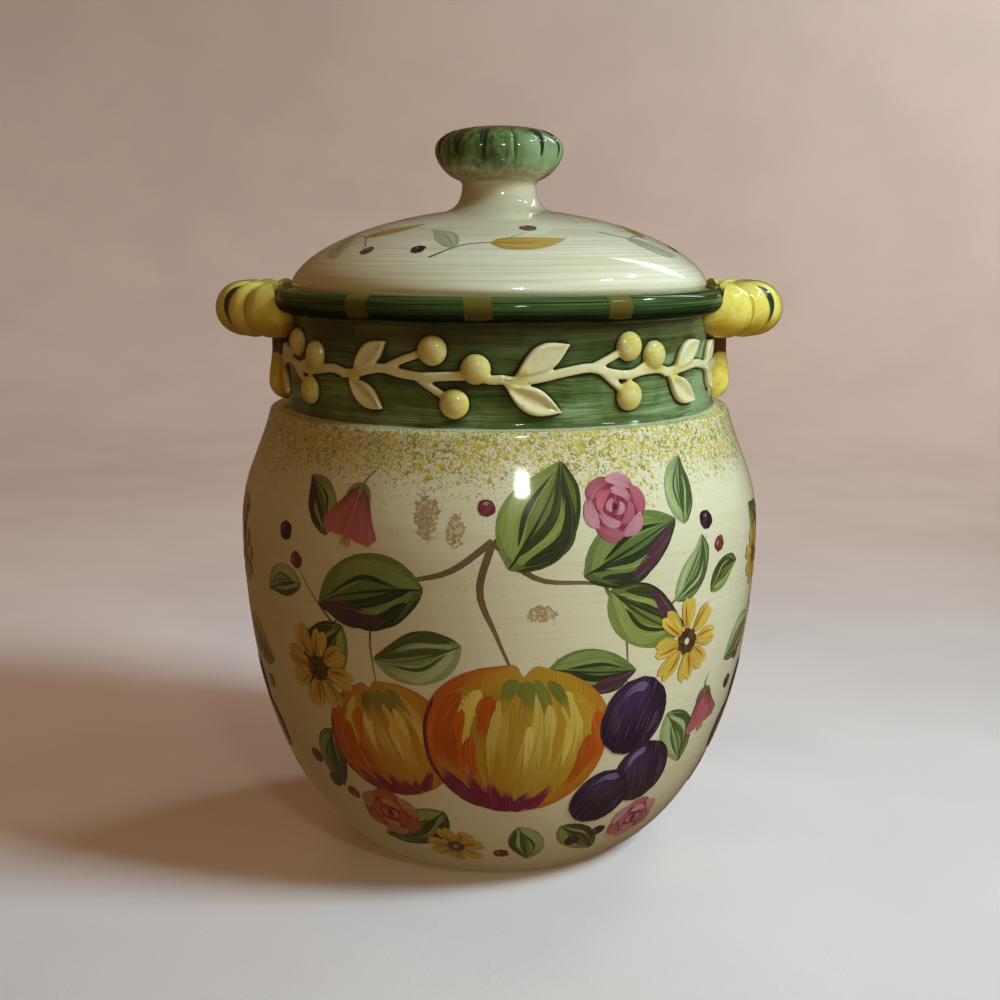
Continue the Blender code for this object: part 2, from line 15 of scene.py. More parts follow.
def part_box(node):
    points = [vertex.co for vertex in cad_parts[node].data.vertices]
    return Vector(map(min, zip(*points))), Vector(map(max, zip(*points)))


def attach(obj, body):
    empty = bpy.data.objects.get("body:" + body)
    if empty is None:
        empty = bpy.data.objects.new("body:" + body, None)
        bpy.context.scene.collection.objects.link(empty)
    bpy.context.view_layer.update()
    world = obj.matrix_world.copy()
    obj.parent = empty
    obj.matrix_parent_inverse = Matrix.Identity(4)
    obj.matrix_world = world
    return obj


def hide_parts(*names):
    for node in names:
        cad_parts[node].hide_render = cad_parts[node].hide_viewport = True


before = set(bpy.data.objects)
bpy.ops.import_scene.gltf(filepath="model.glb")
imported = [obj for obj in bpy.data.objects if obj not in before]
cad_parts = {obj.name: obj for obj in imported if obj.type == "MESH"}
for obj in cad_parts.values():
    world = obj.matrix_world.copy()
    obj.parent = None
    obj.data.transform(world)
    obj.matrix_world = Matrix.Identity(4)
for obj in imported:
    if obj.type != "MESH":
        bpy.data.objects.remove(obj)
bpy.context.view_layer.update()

bl_info = {
    "name": "Ceramic canister",
    "version": (1, 0, 0),
    "blender": (4, 5, 0),
    "location": "3D View > Sidebar > Canister",
    "description": "Glazes, moulds and paints a lidded ceramic canister round its packed frame",
    "category": "Object",
}

JAR_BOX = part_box("jar_body")
LID_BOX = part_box("lid_dome")
KNOB_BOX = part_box("lid_knob")
LUG_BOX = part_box("handle_right")
DROP_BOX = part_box("handle_right_drop")
MM = 0.001


# Settings


def length(name, description, default):
    return FloatProperty(name=name, description=description, default=default, unit="LENGTH",
                         subtype="DISTANCE", precision=5)


def colour(name, description, default):
    return FloatVectorProperty(name=name, description=description, default=default, size=3,
                               min=0.0, max=1.0, subtype="COLOR")


def power(name, description, default):
    return FloatProperty(name=name, description=description, default=default, subtype="POWER")


class JarSizes(bpy.types.PropertyGroup):
    """Sizes of the jar's outline, as the frame has them."""

    belly_radius: length("Belly radius", "Widest radius of the jar", JAR_BOX[1].x)
    rim_height: length("Rim height", "Height of the jar's rim", JAR_BOX[1].z)
    skin: length("Skin", "How far the glaze lies inside the frame, to leave room for paint", 0.0004)
    neck_height: length("Neck height", "From the shoulder's edge to the rim's top", 0.0437)
    neck_inset: length("Neck inset", "From the belly's radius in to the neck", 0.0177)
    shoulder_inset: length("Shoulder inset", "From the belly's radius in to the shoulder", 0.0111)
    foot_inset: length("Foot inset", "From the belly's radius in to the foot", 0.0444)
    rim_overhang: length("Rim overhang", "From the neck out to the rim", 0.0056)
    rim_bead: length("Rim bead", "Radius of the rim's rolled bead", 0.0044)
    mouth_inset: length("Mouth inset", "From the rim in to the mouth", 0.0130)
    ledge_inset: length("Ledge inset", "From the rim in to the outside of the lid's ledge", 0.0068)
    ledge_depth: length("Ledge depth", "From the rim's top down to the lid's ledge", 0.0016)
    wall: length("Wall", "Thickness of the jar's wall", 0.006)
    steps: IntProperty(name="Steps", description="Facets round the jar", default=216, min=48)

    @property
    def shoulder_height(self):
        return self.rim_height - self.neck_height

    @property
    def neck_radius(self):
        return self.belly_radius - self.neck_inset

    @property
    def rim_radius(self):
        return self.neck_radius + self.rim_overhang

    @property
    def mouth_radius(self):
        return self.rim_radius - self.mouth_inset

    @property
    def bead_height(self):
        """Height of the middle of the rim's bead."""
        return self.rim_height - self.rim_bead


class LidSizes(bpy.types.PropertyGroup):
    """Sizes of the lid and its knob, as the frame has them."""

    radius: length("Lid radius", "Radius of the lid's edge", LID_BOX[1].x)
    crown: length("Crown height", "Height of the dome where the knob stands", LID_BOX[1].z)
    rise: length("Rise", "From the lid's edge up to the top of its dome", 0.0265)
    edge: length("Edge", "Radius of the lid's rounded edge", 0.0022)
    wall: length("Wall", "Thickness of the lid", 0.005)
    seat_radius: length("Knob seat", "Radius of the knob's foot", 0.017)
    stem_radius: length("Stem radius", "Radius of the knob's stem", 0.0133)
    stem_height: length("Stem height", "From the dome to the narrowest part of the stem", 0.0082)
    undercut: length("Undercut", "From the narrowest part of the stem to the cap's edge", 0.0120)
    flute_depth: length("Flute depth", "Depth of the cap's flutes", 0.0012)
    flutes: IntProperty(name="Flutes", description="Flutes round the cap", default=13, min=3)
    steps: IntProperty(name="Steps", description="Facets round the lid", default=192, min=48)

    @property
    def cap_height(self):
        """Height where the knob's cap is widest."""
        return KNOB_BOX[0].z + self.stem_height + self.undercut


class Glazes(bpy.types.PropertyGroup):
    """Colours of the glazes."""

    cream: colour("Cream", "Body of the jar", (0.74, 0.67, 0.41))
    cream_shade: colour("Cream shade", "Brush marks in the cream", (0.63, 0.53, 0.27))
    lid_cream: colour("Lid cream", "Body of the lid", (0.85, 0.80, 0.53))
    # Also the painted shade and glaze pooling in the lid's hollows.
    lid_shade: colour("Lid shade", "Brush marks in the lid's cream", (0.70, 0.60, 0.35))
    clay: colour("Clay", "Bare clay under the foot", (0.62, 0.52, 0.38))
    mustard: colour("Mustard", "Sponged flecks on the shoulder", (0.56, 0.41, 0.012))
    olive: colour("Olive", "Darker sponged flecks", (0.29, 0.26, 0.012))
    # Also mixed in round the vine as glaze pooling and painted shade.
    neck_dark: colour("Neck dark", "Pooled green of the neck", (0.026, 0.048, 0.012))
    neck: colour("Neck", "Brushed green of the neck", (0.100, 0.140, 0.034))
    # Also the painted light on the right of the neck and of the knob's cap.
    neck_light: colour("Neck light", "Thin green of the neck", (0.26, 0.36, 0.155))
    # Left nearly black on the bead's lower half as painted shade; rim_light gives brush marks and
    # painted light on its upper half.
    rim: colour("Rim", "Dark green of the rim", (0.004, 0.012, 0.004))
    rim_light: colour("Rim light", "Brush marks in the rim's green", (0.088, 0.148, 0.034))
    brown: colour("Brown", "Thin brown over the top of the neck", (0.055, 0.045, 0.014))
    amber: colour("Amber", "Dashes over the rim", (0.19, 0.165, 0.026))
    amber_low: colour("Amber low", "The dashes' lower ends", (0.070, 0.036, 0.005))
    lemon: colour("Lemon", "Body of the handles", (0.86, 0.71, 0.13))
    ochre: colour("Ochre", "Washes in the handles' hollows", (0.62, 0.38, 0.022))
    # Used as glaze pooling and painted shade in the handles' creases, and as the painted shadow on each
    # drop under its handle.
    umber: colour("Umber", "Pooled brown of the handles", (0.12, 0.055, 0.012))
    sage: colour("Sage", "Cap of the knob", (0.15, 0.25, 0.075))
    # Also darkens the flutes' creases as glaze pooling and painted shade.
    moss: colour("Moss", "Washes on the knob's cap", (0.044, 0.080, 0.014))
    bottle: colour("Bottle green", "Strokes in the flutes", (0.008, 0.035, 0.015))
    ivory: colour("Ivory", "Moulded vine", (0.79, 0.72, 0.37))
    straw: colour("Straw", "Yellow washes on the vine", (0.68, 0.54, 0.10))


class Stage(bpy.types.PropertyGroup):
    """Camera, floor and lights."""

    distance: length("Distance", "From the jar's axis to the camera", 0.5310)
    height: length("Height", "Height of the camera", 0.2260)
    pitch: FloatProperty(name="Pitch", description="How far the camera looks down",
                         default=math.radians(10.74), subtype="ANGLE")
    lens: FloatProperty(name="Lens", description="Focal length for a 36 mm square frame",
                        default=51.98)
    key_power: power("Key power", "Window light from the right", 2.42)
    pane_power: power("Pane power", "The window as the glaze mirrors it", 0.024)
    lamp_power: power("Lamp power", "Small light over the camera", 0.46)
    fill_power: power("Fill power", "Warm light from the left", 0.22)
    backdrop_power: power("Backdrop power", "Light on the backdrop", 6.0)
    bounce_power: power("Bounce power", "Light that the room throws back", 1.1)
    floor: colour("Floor", "The floor and its backdrop", (0.97, 0.86, 0.75))


# Lines and surfaces


def bezier(p0, p1, p2, p3, count):
    points = []
    for i in range(count + 1):
        t = i / count
        weights = ((1 - t) ** 3, 3 * t * (1 - t) ** 2, 3 * t * t * (1 - t), t**3)
        points.append(tuple(sum(w * p[k] for w, p in zip(weights, (p0, p1, p2, p3)))
                            for k in (0, 1)))
    return points


def arc(centre, radius, start, end, count):
    """Points of an arc from one angle to another, in degrees from +R to +Z."""
    angles = [math.radians(start + (end - start) * i / count) for i in range(count + 1)]
    return [(centre[0] + radius * math.cos(a), centre[1] + radius * math.sin(a)) for a in angles]


def moved(points, distance):
    """The same line moved out along its own normals, which point left of the way it runs."""
    made = []
    for i, (r, z) in enumerate(points):
        a, b = points[max(i - 1, 0)], points[min(i + 1, len(points) - 1)]
        along = Vector((b[0] - a[0], b[1] - a[1])).normalized()
        made.append((r - along.y * distance, z + along.x * distance))
    return made


def smooth_path(points, count):
    """That many places along a smooth curve through the points, evenly by knot."""
    knots = [Vector(p) for p in points]
    knots = [2 * knots[0] - knots[1], *knots, 2 * knots[-1] - knots[-2]]
    path = []
    for i in range(count + 1):
        at = (len(knots) - 3) * i / count
        k = min(int(at), len(knots) - 4)
        t = at - k
        before, a, b, after = knots[k:k + 4]
        path.append(0.5 * (2 * a + (b - before) * t
                           + (2 * before - 5 * a + 4 * b - after) * t * t
                           + (3 * a - before - 3 * b + after) * t**3))
    return path


def share_between(value, low, high):
    """0 below the low value, 1 above the high one, and a smooth rise between."""
    t = min(max((value - low) / (high - low), 0.0), 1.0)
    return t * t * (3 - 2 * t)


class TurnedSurface:
    """A surface turned round Z. A place on it is an angle and a distance along the line that it
    is turned from, which runs down its outside. press gives how far it is pressed in."""

    def __init__(self, line, press=None):
        self.line = line
        self.press = press
        self.distances = [0.0]
        for a, b in zip(line, line[1:]):
            self.distances.append(self.distances[-1] + math.dist(a, b))

    def section(self, distance):
        i = min(max(bisect_right(self.distances, distance) - 1, 0), len(self.line) - 2)
        (r0, z0), (r1, z1) = self.line[i], self.line[i + 1]
        step = self.distances[i + 1] - self.distances[i]
        share = (distance - self.distances[i]) / step
        return (r0 + (r1 - r0) * share, z0 + (z1 - z0) * share, (z0 - z1) / step, (r1 - r0) / step)

    def radius(self, distance):
        return self.section(distance)[0]

    def distance_at_height(self, height):
        """How far along the line it first drops to a height."""
        for i in range(1, len(self.line)):
            z0, z1 = self.line[i - 1][1], self.line[i][1]
            if z1 <= height < z0:
                share = (z0 - height) / (z0 - z1)
                return self.distances[i - 1] + share * (self.distances[i] - self.distances[i - 1])
        raise ValueError(f"the line doesn't drop to a height of {height}")

    def distance_at_radius(self, radius):
        """How far along the line it first reaches out to a radius."""
        for i in range(1, len(self.line)):
            r0, r1 = self.line[i - 1][0], self.line[i][0]
            if r0 <= radius < r1:
                share = (radius - r0) / (r1 - r0)
                return self.distances[i - 1] + share * (self.distances[i] - self.distances[i - 1])
        raise ValueError(f"the line doesn't reach out to a radius of {radius}")

    def place(self, angle, distance, lift=0.0):
        radius, height, out, up = self.section(distance)
        if self.press:
            radius -= self.press(angle, radius, height)
        radius += out * lift
        return Vector((radius * math.sin(angle), -radius * math.cos(angle), height + up * lift))

    def normal(self, angle, distance):
        across = 0.0005 / max(self.radius(distance), 0.001)
        along = 0.0004
        right = self.place(angle + across, distance) - self.place(angle - across, distance)
        down = self.place(angle, distance + along) - self.place(angle, distance - along)
        return down.cross(right).normalized()


def uneven(amount):
    """The slight lumps of a piece cast and sponged by hand, as a press for a surface."""
    def press(angle, radius, height):
        at = Vector((radius * math.sin(angle), -radius * math.cos(angle), height))
        return amount * noise.noise(at * 34) * min(radius / 0.02, 1.0)
    return press


def jar_outer_line(sizes, skin):
    """The jar's outside from just inside the top of its rim down to its foot."""
    belly, shoulder_height = sizes.belly_radius, sizes.shoulder_height
    foot, shoulder = belly - sizes.foot_inset, belly - sizes.shoulder_inset
    neck, rounding = sizes.neck_radius, 0.0018
    rim, bead = sizes.rim_radius, sizes.rim_bead
    belly_height = 0.744 * shoulder_height
    rise = shoulder_height - belly_height
    lower = bezier((foot, 0.0), (foot + 0.376 * sizes.foot_inset, 0.070 * belly_height),
                   (belly, 0.332 * belly_height), (belly, belly_height), 44)
    upper = bezier((belly, belly_height), (belly, belly_height + 0.436 * rise),
                   (shoulder + 0.378 * sizes.shoulder_inset, shoulder_height - 0.397 * rise),
                   (shoulder, shoulder_height), 20)
    edge = bezier((shoulder, shoulder_height),
                  (shoulder - 0.25 * rounding, shoulder_height + 0.9 * rounding),
                  (shoulder - 1.4 * rounding, shoulder_height + 0.9 * rounding),
                  (neck + rounding, shoulder_height + rounding), 8)
    fillet = arc((neck + rounding, shoulder_height + 2 * rounding), rounding, 270, 180, 6)
    bead_foot = sizes.rim_height - 2 * bead
    collar = bezier(fillet[-1], (neck, bead_foot - 0.004), (neck, bead_foot - 0.002),
                    (neck, bead_foot - 0.0008), 14)
    roll = arc((rim - bead, sizes.rim_height - bead), bead, -80, 112, 22)
    line = lower + upper[1:] + edge[1:] + fillet[1:] + collar[1:] + roll
    return moved(list(reversed(line)), -skin)


def jar_whole_line(sizes):
    """From the middle of the jar's floor up its inside, over the rim and down its outside."""
    outer = jar_outer_line(sizes, sizes.skin)
    ledge = sizes.rim_height - sizes.ledge_depth
    mouth, ledge_radius = sizes.mouth_radius, sizes.rim_radius - sizes.ledge_inset
    floor = 0.008
    inner_neck = sizes.neck_radius - sizes.wall
    body = [p for p in outer if p[1] < sizes.shoulder_height - 0.001]
    inner = [p for p in moved(body, -sizes.wall) if p[1] > floor + 0.002][::3]
    inside = [(0.0, floor), (0.5 * inner[-1][0], floor), (inner[-1][0] - 0.003, floor + 0.0004)]
    inside += list(reversed(inner))
    inside += [(inner_neck, sizes.shoulder_height), (inner_neck, ledge - 0.012),
               (mouth + 0.0003, ledge - 0.0095), (mouth, ledge - 0.0085), (mouth, ledge - 0.001),
               (mouth + 0.0003, ledge - 0.0003), (mouth + 0.001, ledge)]
    inside += [(ledge_radius, ledge), (ledge_radius + 0.0003, ledge + 0.0003)]
    foot = outer[-1][0]
    under = [(foot - 0.0004, 0.0), (foot - 0.0066, 0.0), (foot - 0.0074, 0.0006),
             (foot - 0.0078, 0.0025), (0.5 * foot, 0.0025), (0.0, 0.0025)]
    return inside, outer, under


def dome_share(share):
    """How high the dome stands over its edge at a share of its radius, as a share of its rise."""
    return (1 - share**1.9) ** 0.61


def dome_height(sizes, radius):
    edge = sizes.crown - sizes.rise * dome_share(sizes.seat_radius / sizes.radius)
    return edge + sizes.rise * dome_share(min(radius / sizes.radius, 1.0))


def lid_outer_line(sizes):
    """The dome from under the knob down to the lid's rounded edge."""
    line = [(0.0, sizes.crown)]
    for i in range(41):
        share = math.sin(math.radians(90 * (i / 40) ** 0.93))
        radius = sizes.seat_radius + (sizes.radius - sizes.seat_radius) * share
        line.append((radius, dome_height(sizes, radius)))
    centre = (sizes.radius - sizes.edge, line[-1][1])
    return line + arc(centre, sizes.edge, -8, -90, 8)


def lid_whole_line(sizes, mouth_radius):
    outer = lid_outer_line(sizes)
    foot = outer[-1][1]
    flange = mouth_radius - 0.002
    inner = flange - 0.004
    low = LID_BOX[0].z
    ring = [(flange + 0.0006, foot), (flange, foot - 0.0006), (flange, low + 0.0008),
            (flange - 0.0008, low), (inner + 0.0008, low), (inner, low + 0.0008)]
    inside = [(inner * s, dome_height(sizes, inner * s) - sizes.wall)
              for s in (1.0, 0.97, 0.9, 0.8, 0.68, 0.54, 0.4, 0.25)]
    return outer, ring + inside + [(0.0, sizes.crown - sizes.wall)]


def knob_line(sizes):
    """From the top of the knob's cap down its outside to its foot."""
    foot, radius = KNOB_BOX[0].z, KNOB_BOX[1].x
    waist, widest = foot + sizes.stem_height, sizes.cap_height
    crown, overhang = KNOB_BOX[1].z - widest, radius - sizes.stem_radius
    line = [(0.0, KNOB_BOX[1].z)]
    for i in range(1, 23):
        a = math.radians(90 - 90 * i / 22)
        line.append((radius * math.cos(a) ** 0.8, widest + crown * math.sin(a) ** 0.8))
    for i in range(1, 17):
        a = math.radians(82 * i / 16)
        line.append((sizes.stem_radius + overhang * math.cos(a) ** 1.25,
                     widest - 0.84 * sizes.undercut * math.sin(a) ** 1.25))
    flare = 1.22 * sizes.seat_radius
    flare_height = dome_height(sizes, flare) - 0.00007
    slope = (dome_height(sizes, flare) - dome_height(sizes, 1.1 * flare)) / (0.1 * flare)
    line += bezier((sizes.stem_radius, waist + 0.0008),
                   (sizes.stem_radius, foot + 0.35 * sizes.stem_height),
                   (flare - 0.0048, flare_height + 0.0048 * slope), (flare, flare_height), 16)
    return line + [(flare - 0.0006, flare_height - 0.0006), (0.0, sizes.crown - 0.0008)]


def knob_flute_angle(sizes, index):
    """Angle of a flute from the front. No flute is at the front itself."""
    return 2 * math.pi * (index + 0.5) / sizes.flutes


def knob_press(sizes):
    """Rounded lobes with a crease between each two, deepest at the cap's edge."""
    half = math.pi / sizes.flutes
    low = KNOB_BOX[0].z + sizes.stem_height + 0.55 * sizes.undercut
    full = KNOB_BOX[1].x

    def press(angle, radius, height):
        away = abs((angle - half) % (2 * half) - half)
        lobe = 1 - math.sqrt(max(0.0, 1 - (away / half) ** 3.2))
        reach = share_between(radius, 0.35 * full, 0.97 * full)
        return sizes.flute_depth * lobe * reach * share_between(height, low, low + 0.0055)

    return press


class LugSurface:
    """The fluted roll of a handle. A place on it is an angle round the roll's ring, from the
    handle's outermost point towards +Y, and a distance round its section from the top
    outwards."""

    creases = tuple(math.radians(a) for a in (-55, -35, 35, 55))
    crease_reach = math.radians(9)
    crease_depth = 0.0013
    half_width = 0.0100
    ring = 0.0210
    ring_inset = 0.0320  # from the handle's outermost point in to the middle of its ring

    def __init__(self, side):
        low, high = LUG_BOX
        self.side = side
        self.half_height = (high.z - low.z) / 2
        self.height = (high.z + low.z) / 2
        self.centre = high.x - self.ring_inset
        self.stretch = (high.x - self.centre) / (self.ring + self.half_width)

    def radius(self, distance):
        return self.ring

    def press(self, angle):
        away = min(abs(angle - crease) for crease in self.creases)
        share = max(0.0, 1 - away / self.crease_reach)
        return self.crease_depth * share * share * (3 - 2 * share)

    def place(self, angle, distance, lift=0.0):
        turn = distance / self.half_width
        pressed = self.press(angle)
        out = self.ring + (self.half_width - pressed + lift) * math.sin(turn)
        up = (self.half_height - pressed + lift) * math.cos(turn)
        return Vector((self.side * (self.centre + self.stretch * out * math.cos(angle)),
                       out * math.sin(angle), self.height + up))

    def normal(self, angle, distance):
        right = self.place(angle + 0.01, distance) - self.place(angle - 0.01, distance)
        down = self.place(angle, distance + 0.0003) - self.place(angle, distance - 0.0003)
        return self.side * right.cross(down).normalized()


# Meshes


def new_object(name, mesh):
    obj = bpy.data.objects.new(name, mesh)
    bpy.context.scene.collection.objects.link(obj)
    return obj


def object_from(name, bm):
    """Turns a mesh that is being built into an object."""
    mesh = bpy.data.meshes.new(name)
    bm.to_mesh(mesh)
    bm.free()
    return new_object(name, mesh)


def dress(obj, body, slot, materials, *nodes):
    """Gives a piece its materials and body, and hides the CAD nodes that it stands for. Its slot is not
    used.
    """
    for material in materials:
        obj.data.materials.append(material)
    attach(obj, body)
    if nodes:
        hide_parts(*nodes)


def turned_mesh(name, surface, distances, steps, slots=None):
    """A closed mesh of a surface turned all the way round, whose line starts and ends on the
    axis. slots gives the material slot of each band of faces."""
    bm = bmesh.new()
    rings = []
    for distance in distances:
        if surface.radius(distance) < 0.00005:
            rings.append([bm.verts.new(surface.place(0.0, distance))] * steps)
        else:
            rings.append([bm.verts.new(surface.place(2 * math.pi * k / steps, distance))
                          for k in range(steps)])
    for i, (upper, lower) in enumerate(zip(rings, rings[1:])):
        for k in range(steps):
            corners = [upper[k], lower[k], lower[(k + 1) % steps], upper[(k + 1) % steps]]
            corners = list(dict.fromkeys(corners))
            face = bm.faces.new(corners)
            face.smooth = True
            face.material_index = slots[i] if slots else 0
    bmesh.ops.recalc_face_normals(bm, faces=bm.faces)
    return object_from(name, bm)


def apply_modifiers(obj):
    """Puts an object's modifiers into its mesh."""
    graph = bpy.context.evaluated_depsgraph_get()
    mesh = bpy.data.meshes.new_from_object(obj.evaluated_get(graph))
    old = obj.data
    obj.modifiers.clear()
    obj.data = mesh
    bpy.data.meshes.remove(old)


def paint_points(mesh, name, value_at):
    """Stores a number for each point of a mesh, worked out from where it lies."""
    attribute = mesh.attributes.new(name, "FLOAT", "POINT")
    attribute.data.foreach_set("value", [value_at(v.co) for v in mesh.vertices])


# Materials

PAINT_SHEEN = 0.12  # the paint's own reflection, under the glaze over it
CRUST_DARK, CRUST_PALE = (0.27, 0.135, 0.038), (0.62, 0.45, 0.19)
OLIVE_DARK, OLIVE_PALE = (0.19, 0.185, 0.06), (0.38, 0.36, 0.17)
# Painted shadow that the knob's cap casts on its stem.
KNOB_SHADE = (0.22, 0.16, 0.06)
# The last of these darkens the vine's hollows as glaze pooling and painted shade.
VINE_FLECK, VINE_FOOT, VINE_POOL_AND_SHADE = (0.42, 0.30, 0.12), (0.06, 0.07, 0.02), (0.33, 0.22, 0.07)
BRISTLE_SHADE, BRISTLE_PALE = (0.42, 0.40, 0.40), (0.85, 0.80, 0.60)
# The middle of each worn patch, and how far it reaches along each axis.
WORN_PATCHES = (((-0.0225, -0.0905, 0.1370), (0.0070, 0.03, 0.0115)),
                ((0.0130, -0.0930, 0.1065), (0.0085, 0.03, 0.0046)),
                ((-0.0135, -0.0930, 0.1330), (0.0048, 0.03, 0.0080)))


def blended(a, b, share):
    return tuple(x + (y - x) * share for x, y in zip(a, b))


def scaled(colour, amount):
    return tuple(min(1.0, amount * c) for c in colour)


class Recipe:
    """Builds one material's nodes round its Principled shader."""

    def __init__(self, name):
        self.material = bpy.data.materials.new(name)
        self.material.use_nodes = True
        self.tree = self.material.node_tree
        self.shader = self.tree.nodes["Principled BSDF"]
        place = self.node("ShaderNodeTexCoord")
        self.place = place.outputs["Object"]
        parts = self.node("ShaderNodeSeparateXYZ", {"Vector": self.place})
        self.x, self.y, self.z = parts.outputs

    def node(self, kind, inputs=None, **settings):
        made = self.tree.nodes.new(kind)
        for key, value in settings.items():
            setattr(made, key, value)
        for key, value in (inputs or {}).items():
            self.feed(made.inputs[key], value)
        return made

    def feed(self, socket, value):
        if isinstance(value, bpy.types.NodeSocket):
            self.tree.links.new(value, socket)
        elif socket.type == "RGBA":
            socket.default_value = (*value[:3], 1.0)
        else:
            socket.default_value = value

    def math(self, operation, a, b=0.0):
        return self.node("ShaderNodeMath", {0: a, 1: b}, operation=operation).outputs[0]

    def plus(self, a, b):
        return self.math("ADD", a, b)

    def minus(self, a, b):
        return self.math("SUBTRACT", a, b)

    def times(self, a, b):
        return self.math("MULTIPLY", a, b)

    def swing(self, share, amount):
        """A share between 0 and 1 turned into a swing either way about 0."""
        return self.times(self.minus(share, 0.5), amount)

    def vector(self, x, y, z=0.0):
        return self.node("ShaderNodeCombineXYZ", {0: x, 1: y, 2: z}).outputs[0]

    def mix(self, factor, a, b, blend="MIX"):
        return self.node("ShaderNodeMix", {0: factor, 6: a, 7: b}, data_type="RGBA",
                         blend_type=blend).outputs[2]

    def ramp(self, value, low, high, to_low=0.0, to_high=1.0):
        """Maps a value from one range to another, smoothly, and holds it at the ends."""
        return self.node("ShaderNodeMapRange", {"Value": value, "From Min": low, "From Max": high,
                                                "To Min": to_low, "To Max": to_high},
                         interpolation_type="SMOOTHSTEP").outputs[0]

    def distance_out(self):
        """How far a place is from the jar's axis."""
        squares = self.plus(self.times(self.x, self.x), self.times(self.y, self.y))
        return self.math("SQRT", squares)

    def ringed(self, out, around):
        """The place on a dome with its distances out and round the axis at scales of their own."""
        return self.vector(self.times(self.distance_out(), out), self.times(self.x, around),
                           self.times(self.y, around))

    def stretched(self, across, up, height=None):
        """The place with its heights and its widths at scales of their own."""
        return self.vector(self.times(self.x, across), self.times(self.y, across),
                           self.times(self.z if height is None else height, up))

    def noise(self, vector, scale=1.0, detail=2.0, roughness=0.5, distortion=0.0):
        return self.node("ShaderNodeTexNoise", {
            "Vector": vector, "Scale": scale, "Detail": detail, "Roughness": roughness,
            "Distortion": distortion}).outputs["Fac"]

    def attribute(self, name, output="Fac"):
        return self.node("ShaderNodeAttribute", attribute_name=name).outputs[output]

    def hollows(self, reach):
        """1 on open surfaces, falling towards 0 in creases narrower than the reach."""
        return self.node("ShaderNodeAmbientOcclusion", {"Distance": reach}, samples=8).outputs["AO"]

    def bump(self, height, distance, strength):
        return self.node("ShaderNodeBump", {"Height": height, "Distance": distance,
                                            "Strength": strength}).outputs[0]

    def glazed(self, colour_socket, height, depth=0.00002):
        """Finishes the material as fired paint under a clear glaze. The paint's own relief is
        given by a height, and the glaze over it has a faint orange-peel ripple."""
        self.feed(self.shader.inputs["Base Color"], colour_socket)
        cloudy = self.noise(self.place, 45.0, 3.0)
        self.feed(self.shader.inputs["Roughness"], self.ramp(cloudy, 0.3, 0.7, 0.22, 0.42))
        self.shader.inputs["Specular IOR Level"].default_value = PAINT_SHEEN
        self.shader.inputs["Coat Weight"].default_value = 1.0
        self.shader.inputs["Coat Roughness"].default_value = 0.07
        self.shader.inputs["Coat IOR"].default_value = 1.52
        ripple = self.noise(self.place, 260.0, 1.0)
        self.feed(self.shader.inputs["Coat Normal"], self.bump(ripple, 0.00006, 0.35))
        self.feed(self.shader.inputs["Normal"], self.bump(height, depth, 0.8))
        return self.material


def cream_wash(r, glazes):
    """Cream slip put on with a wide brush that runs round the piece. Returns its colour and the
    height of its brush marks."""
    marks = r.noise(r.stretched(14.0, 900.0), 1.0, 4.0, 0.62)
    clouds = r.noise(r.place, 24.0, 3.0, 0.55)
    tone = r.plus(r.ramp(marks, 0.42, 0.80, 0.0, 0.55), r.ramp(clouds, 0.45, 0.75, 0.0, 0.30))
    return r.mix(tone, glazes.cream, glazes.cream_shade), marks


def worn_share(r):
    """How worn the glaze is, highest in the middle of each worn patch."""
    worn = None
    for place, reach in WORN_PATCHES:
        away = r.node("ShaderNodeVectorMath", {0: r.place, 1: place}, operation="SUBTRACT")
        away = r.node("ShaderNodeVectorMath", {0: away.outputs[0], 1: tuple(1 / v for v in reach)},
                      operation="MULTIPLY")
        away = r.node("ShaderNodeVectorMath", {0: away.outputs[0]}, operation="LENGTH")
        near = r.ramp(away.outputs["Value"], 0.3, 1.1, 0.40, 0.0)
        worn = near if worn is None else r.math("MAXIMUM", worn, near)
    return worn


def cream_shoulder(r, glazes, sizes):
    """The cream body with its sponged shoulder and worn patches, and its brush marks."""
    cream, marks = cream_wash(r, glazes)
    scraped = r.plus(r.noise(r.place, 480.0, 5.0, 0.78), worn_share(r))
    crust = r.mix(r.ramp(scraped, 0.86, 0.95), CRUST_DARK, CRUST_PALE)
    body = r.mix(r.ramp(scraped, 0.78, 0.83, 0.0, 0.85), cream, crust)

    shoulder = sizes.shoulder_height
    flecks = r.noise(r.place, 900.0, 2.0, 0.55, 1.2)
    reach = r.plus(r.z, r.swing(r.noise(r.place, 70.0, 2.0), 0.018))
    wanted = r.ramp(reach, shoulder - 0.027, shoulder - 0.006, 0.70, 0.485)
    fleck = r.ramp(r.minus(flecks, wanted), 0.0, 0.024, 0.0, 0.95)
    neck = sizes.neck_radius
    fleck = r.times(fleck, r.ramp(r.distance_out(), neck + 0.0022, neck + 0.0040))
    fleck_tone = r.ramp(r.noise(r.place, 330.0, 1.0), 0.42, 0.62)
    return r.mix(fleck, body, r.mix(fleck_tone, glazes.mustard, glazes.olive)), marks


def jar_glaze(glazes, sizes):
    r = Recipe("jar_glaze")
    body, marks = cream_shoulder(r, glazes, sizes)
    return r.glazed(body, marks)


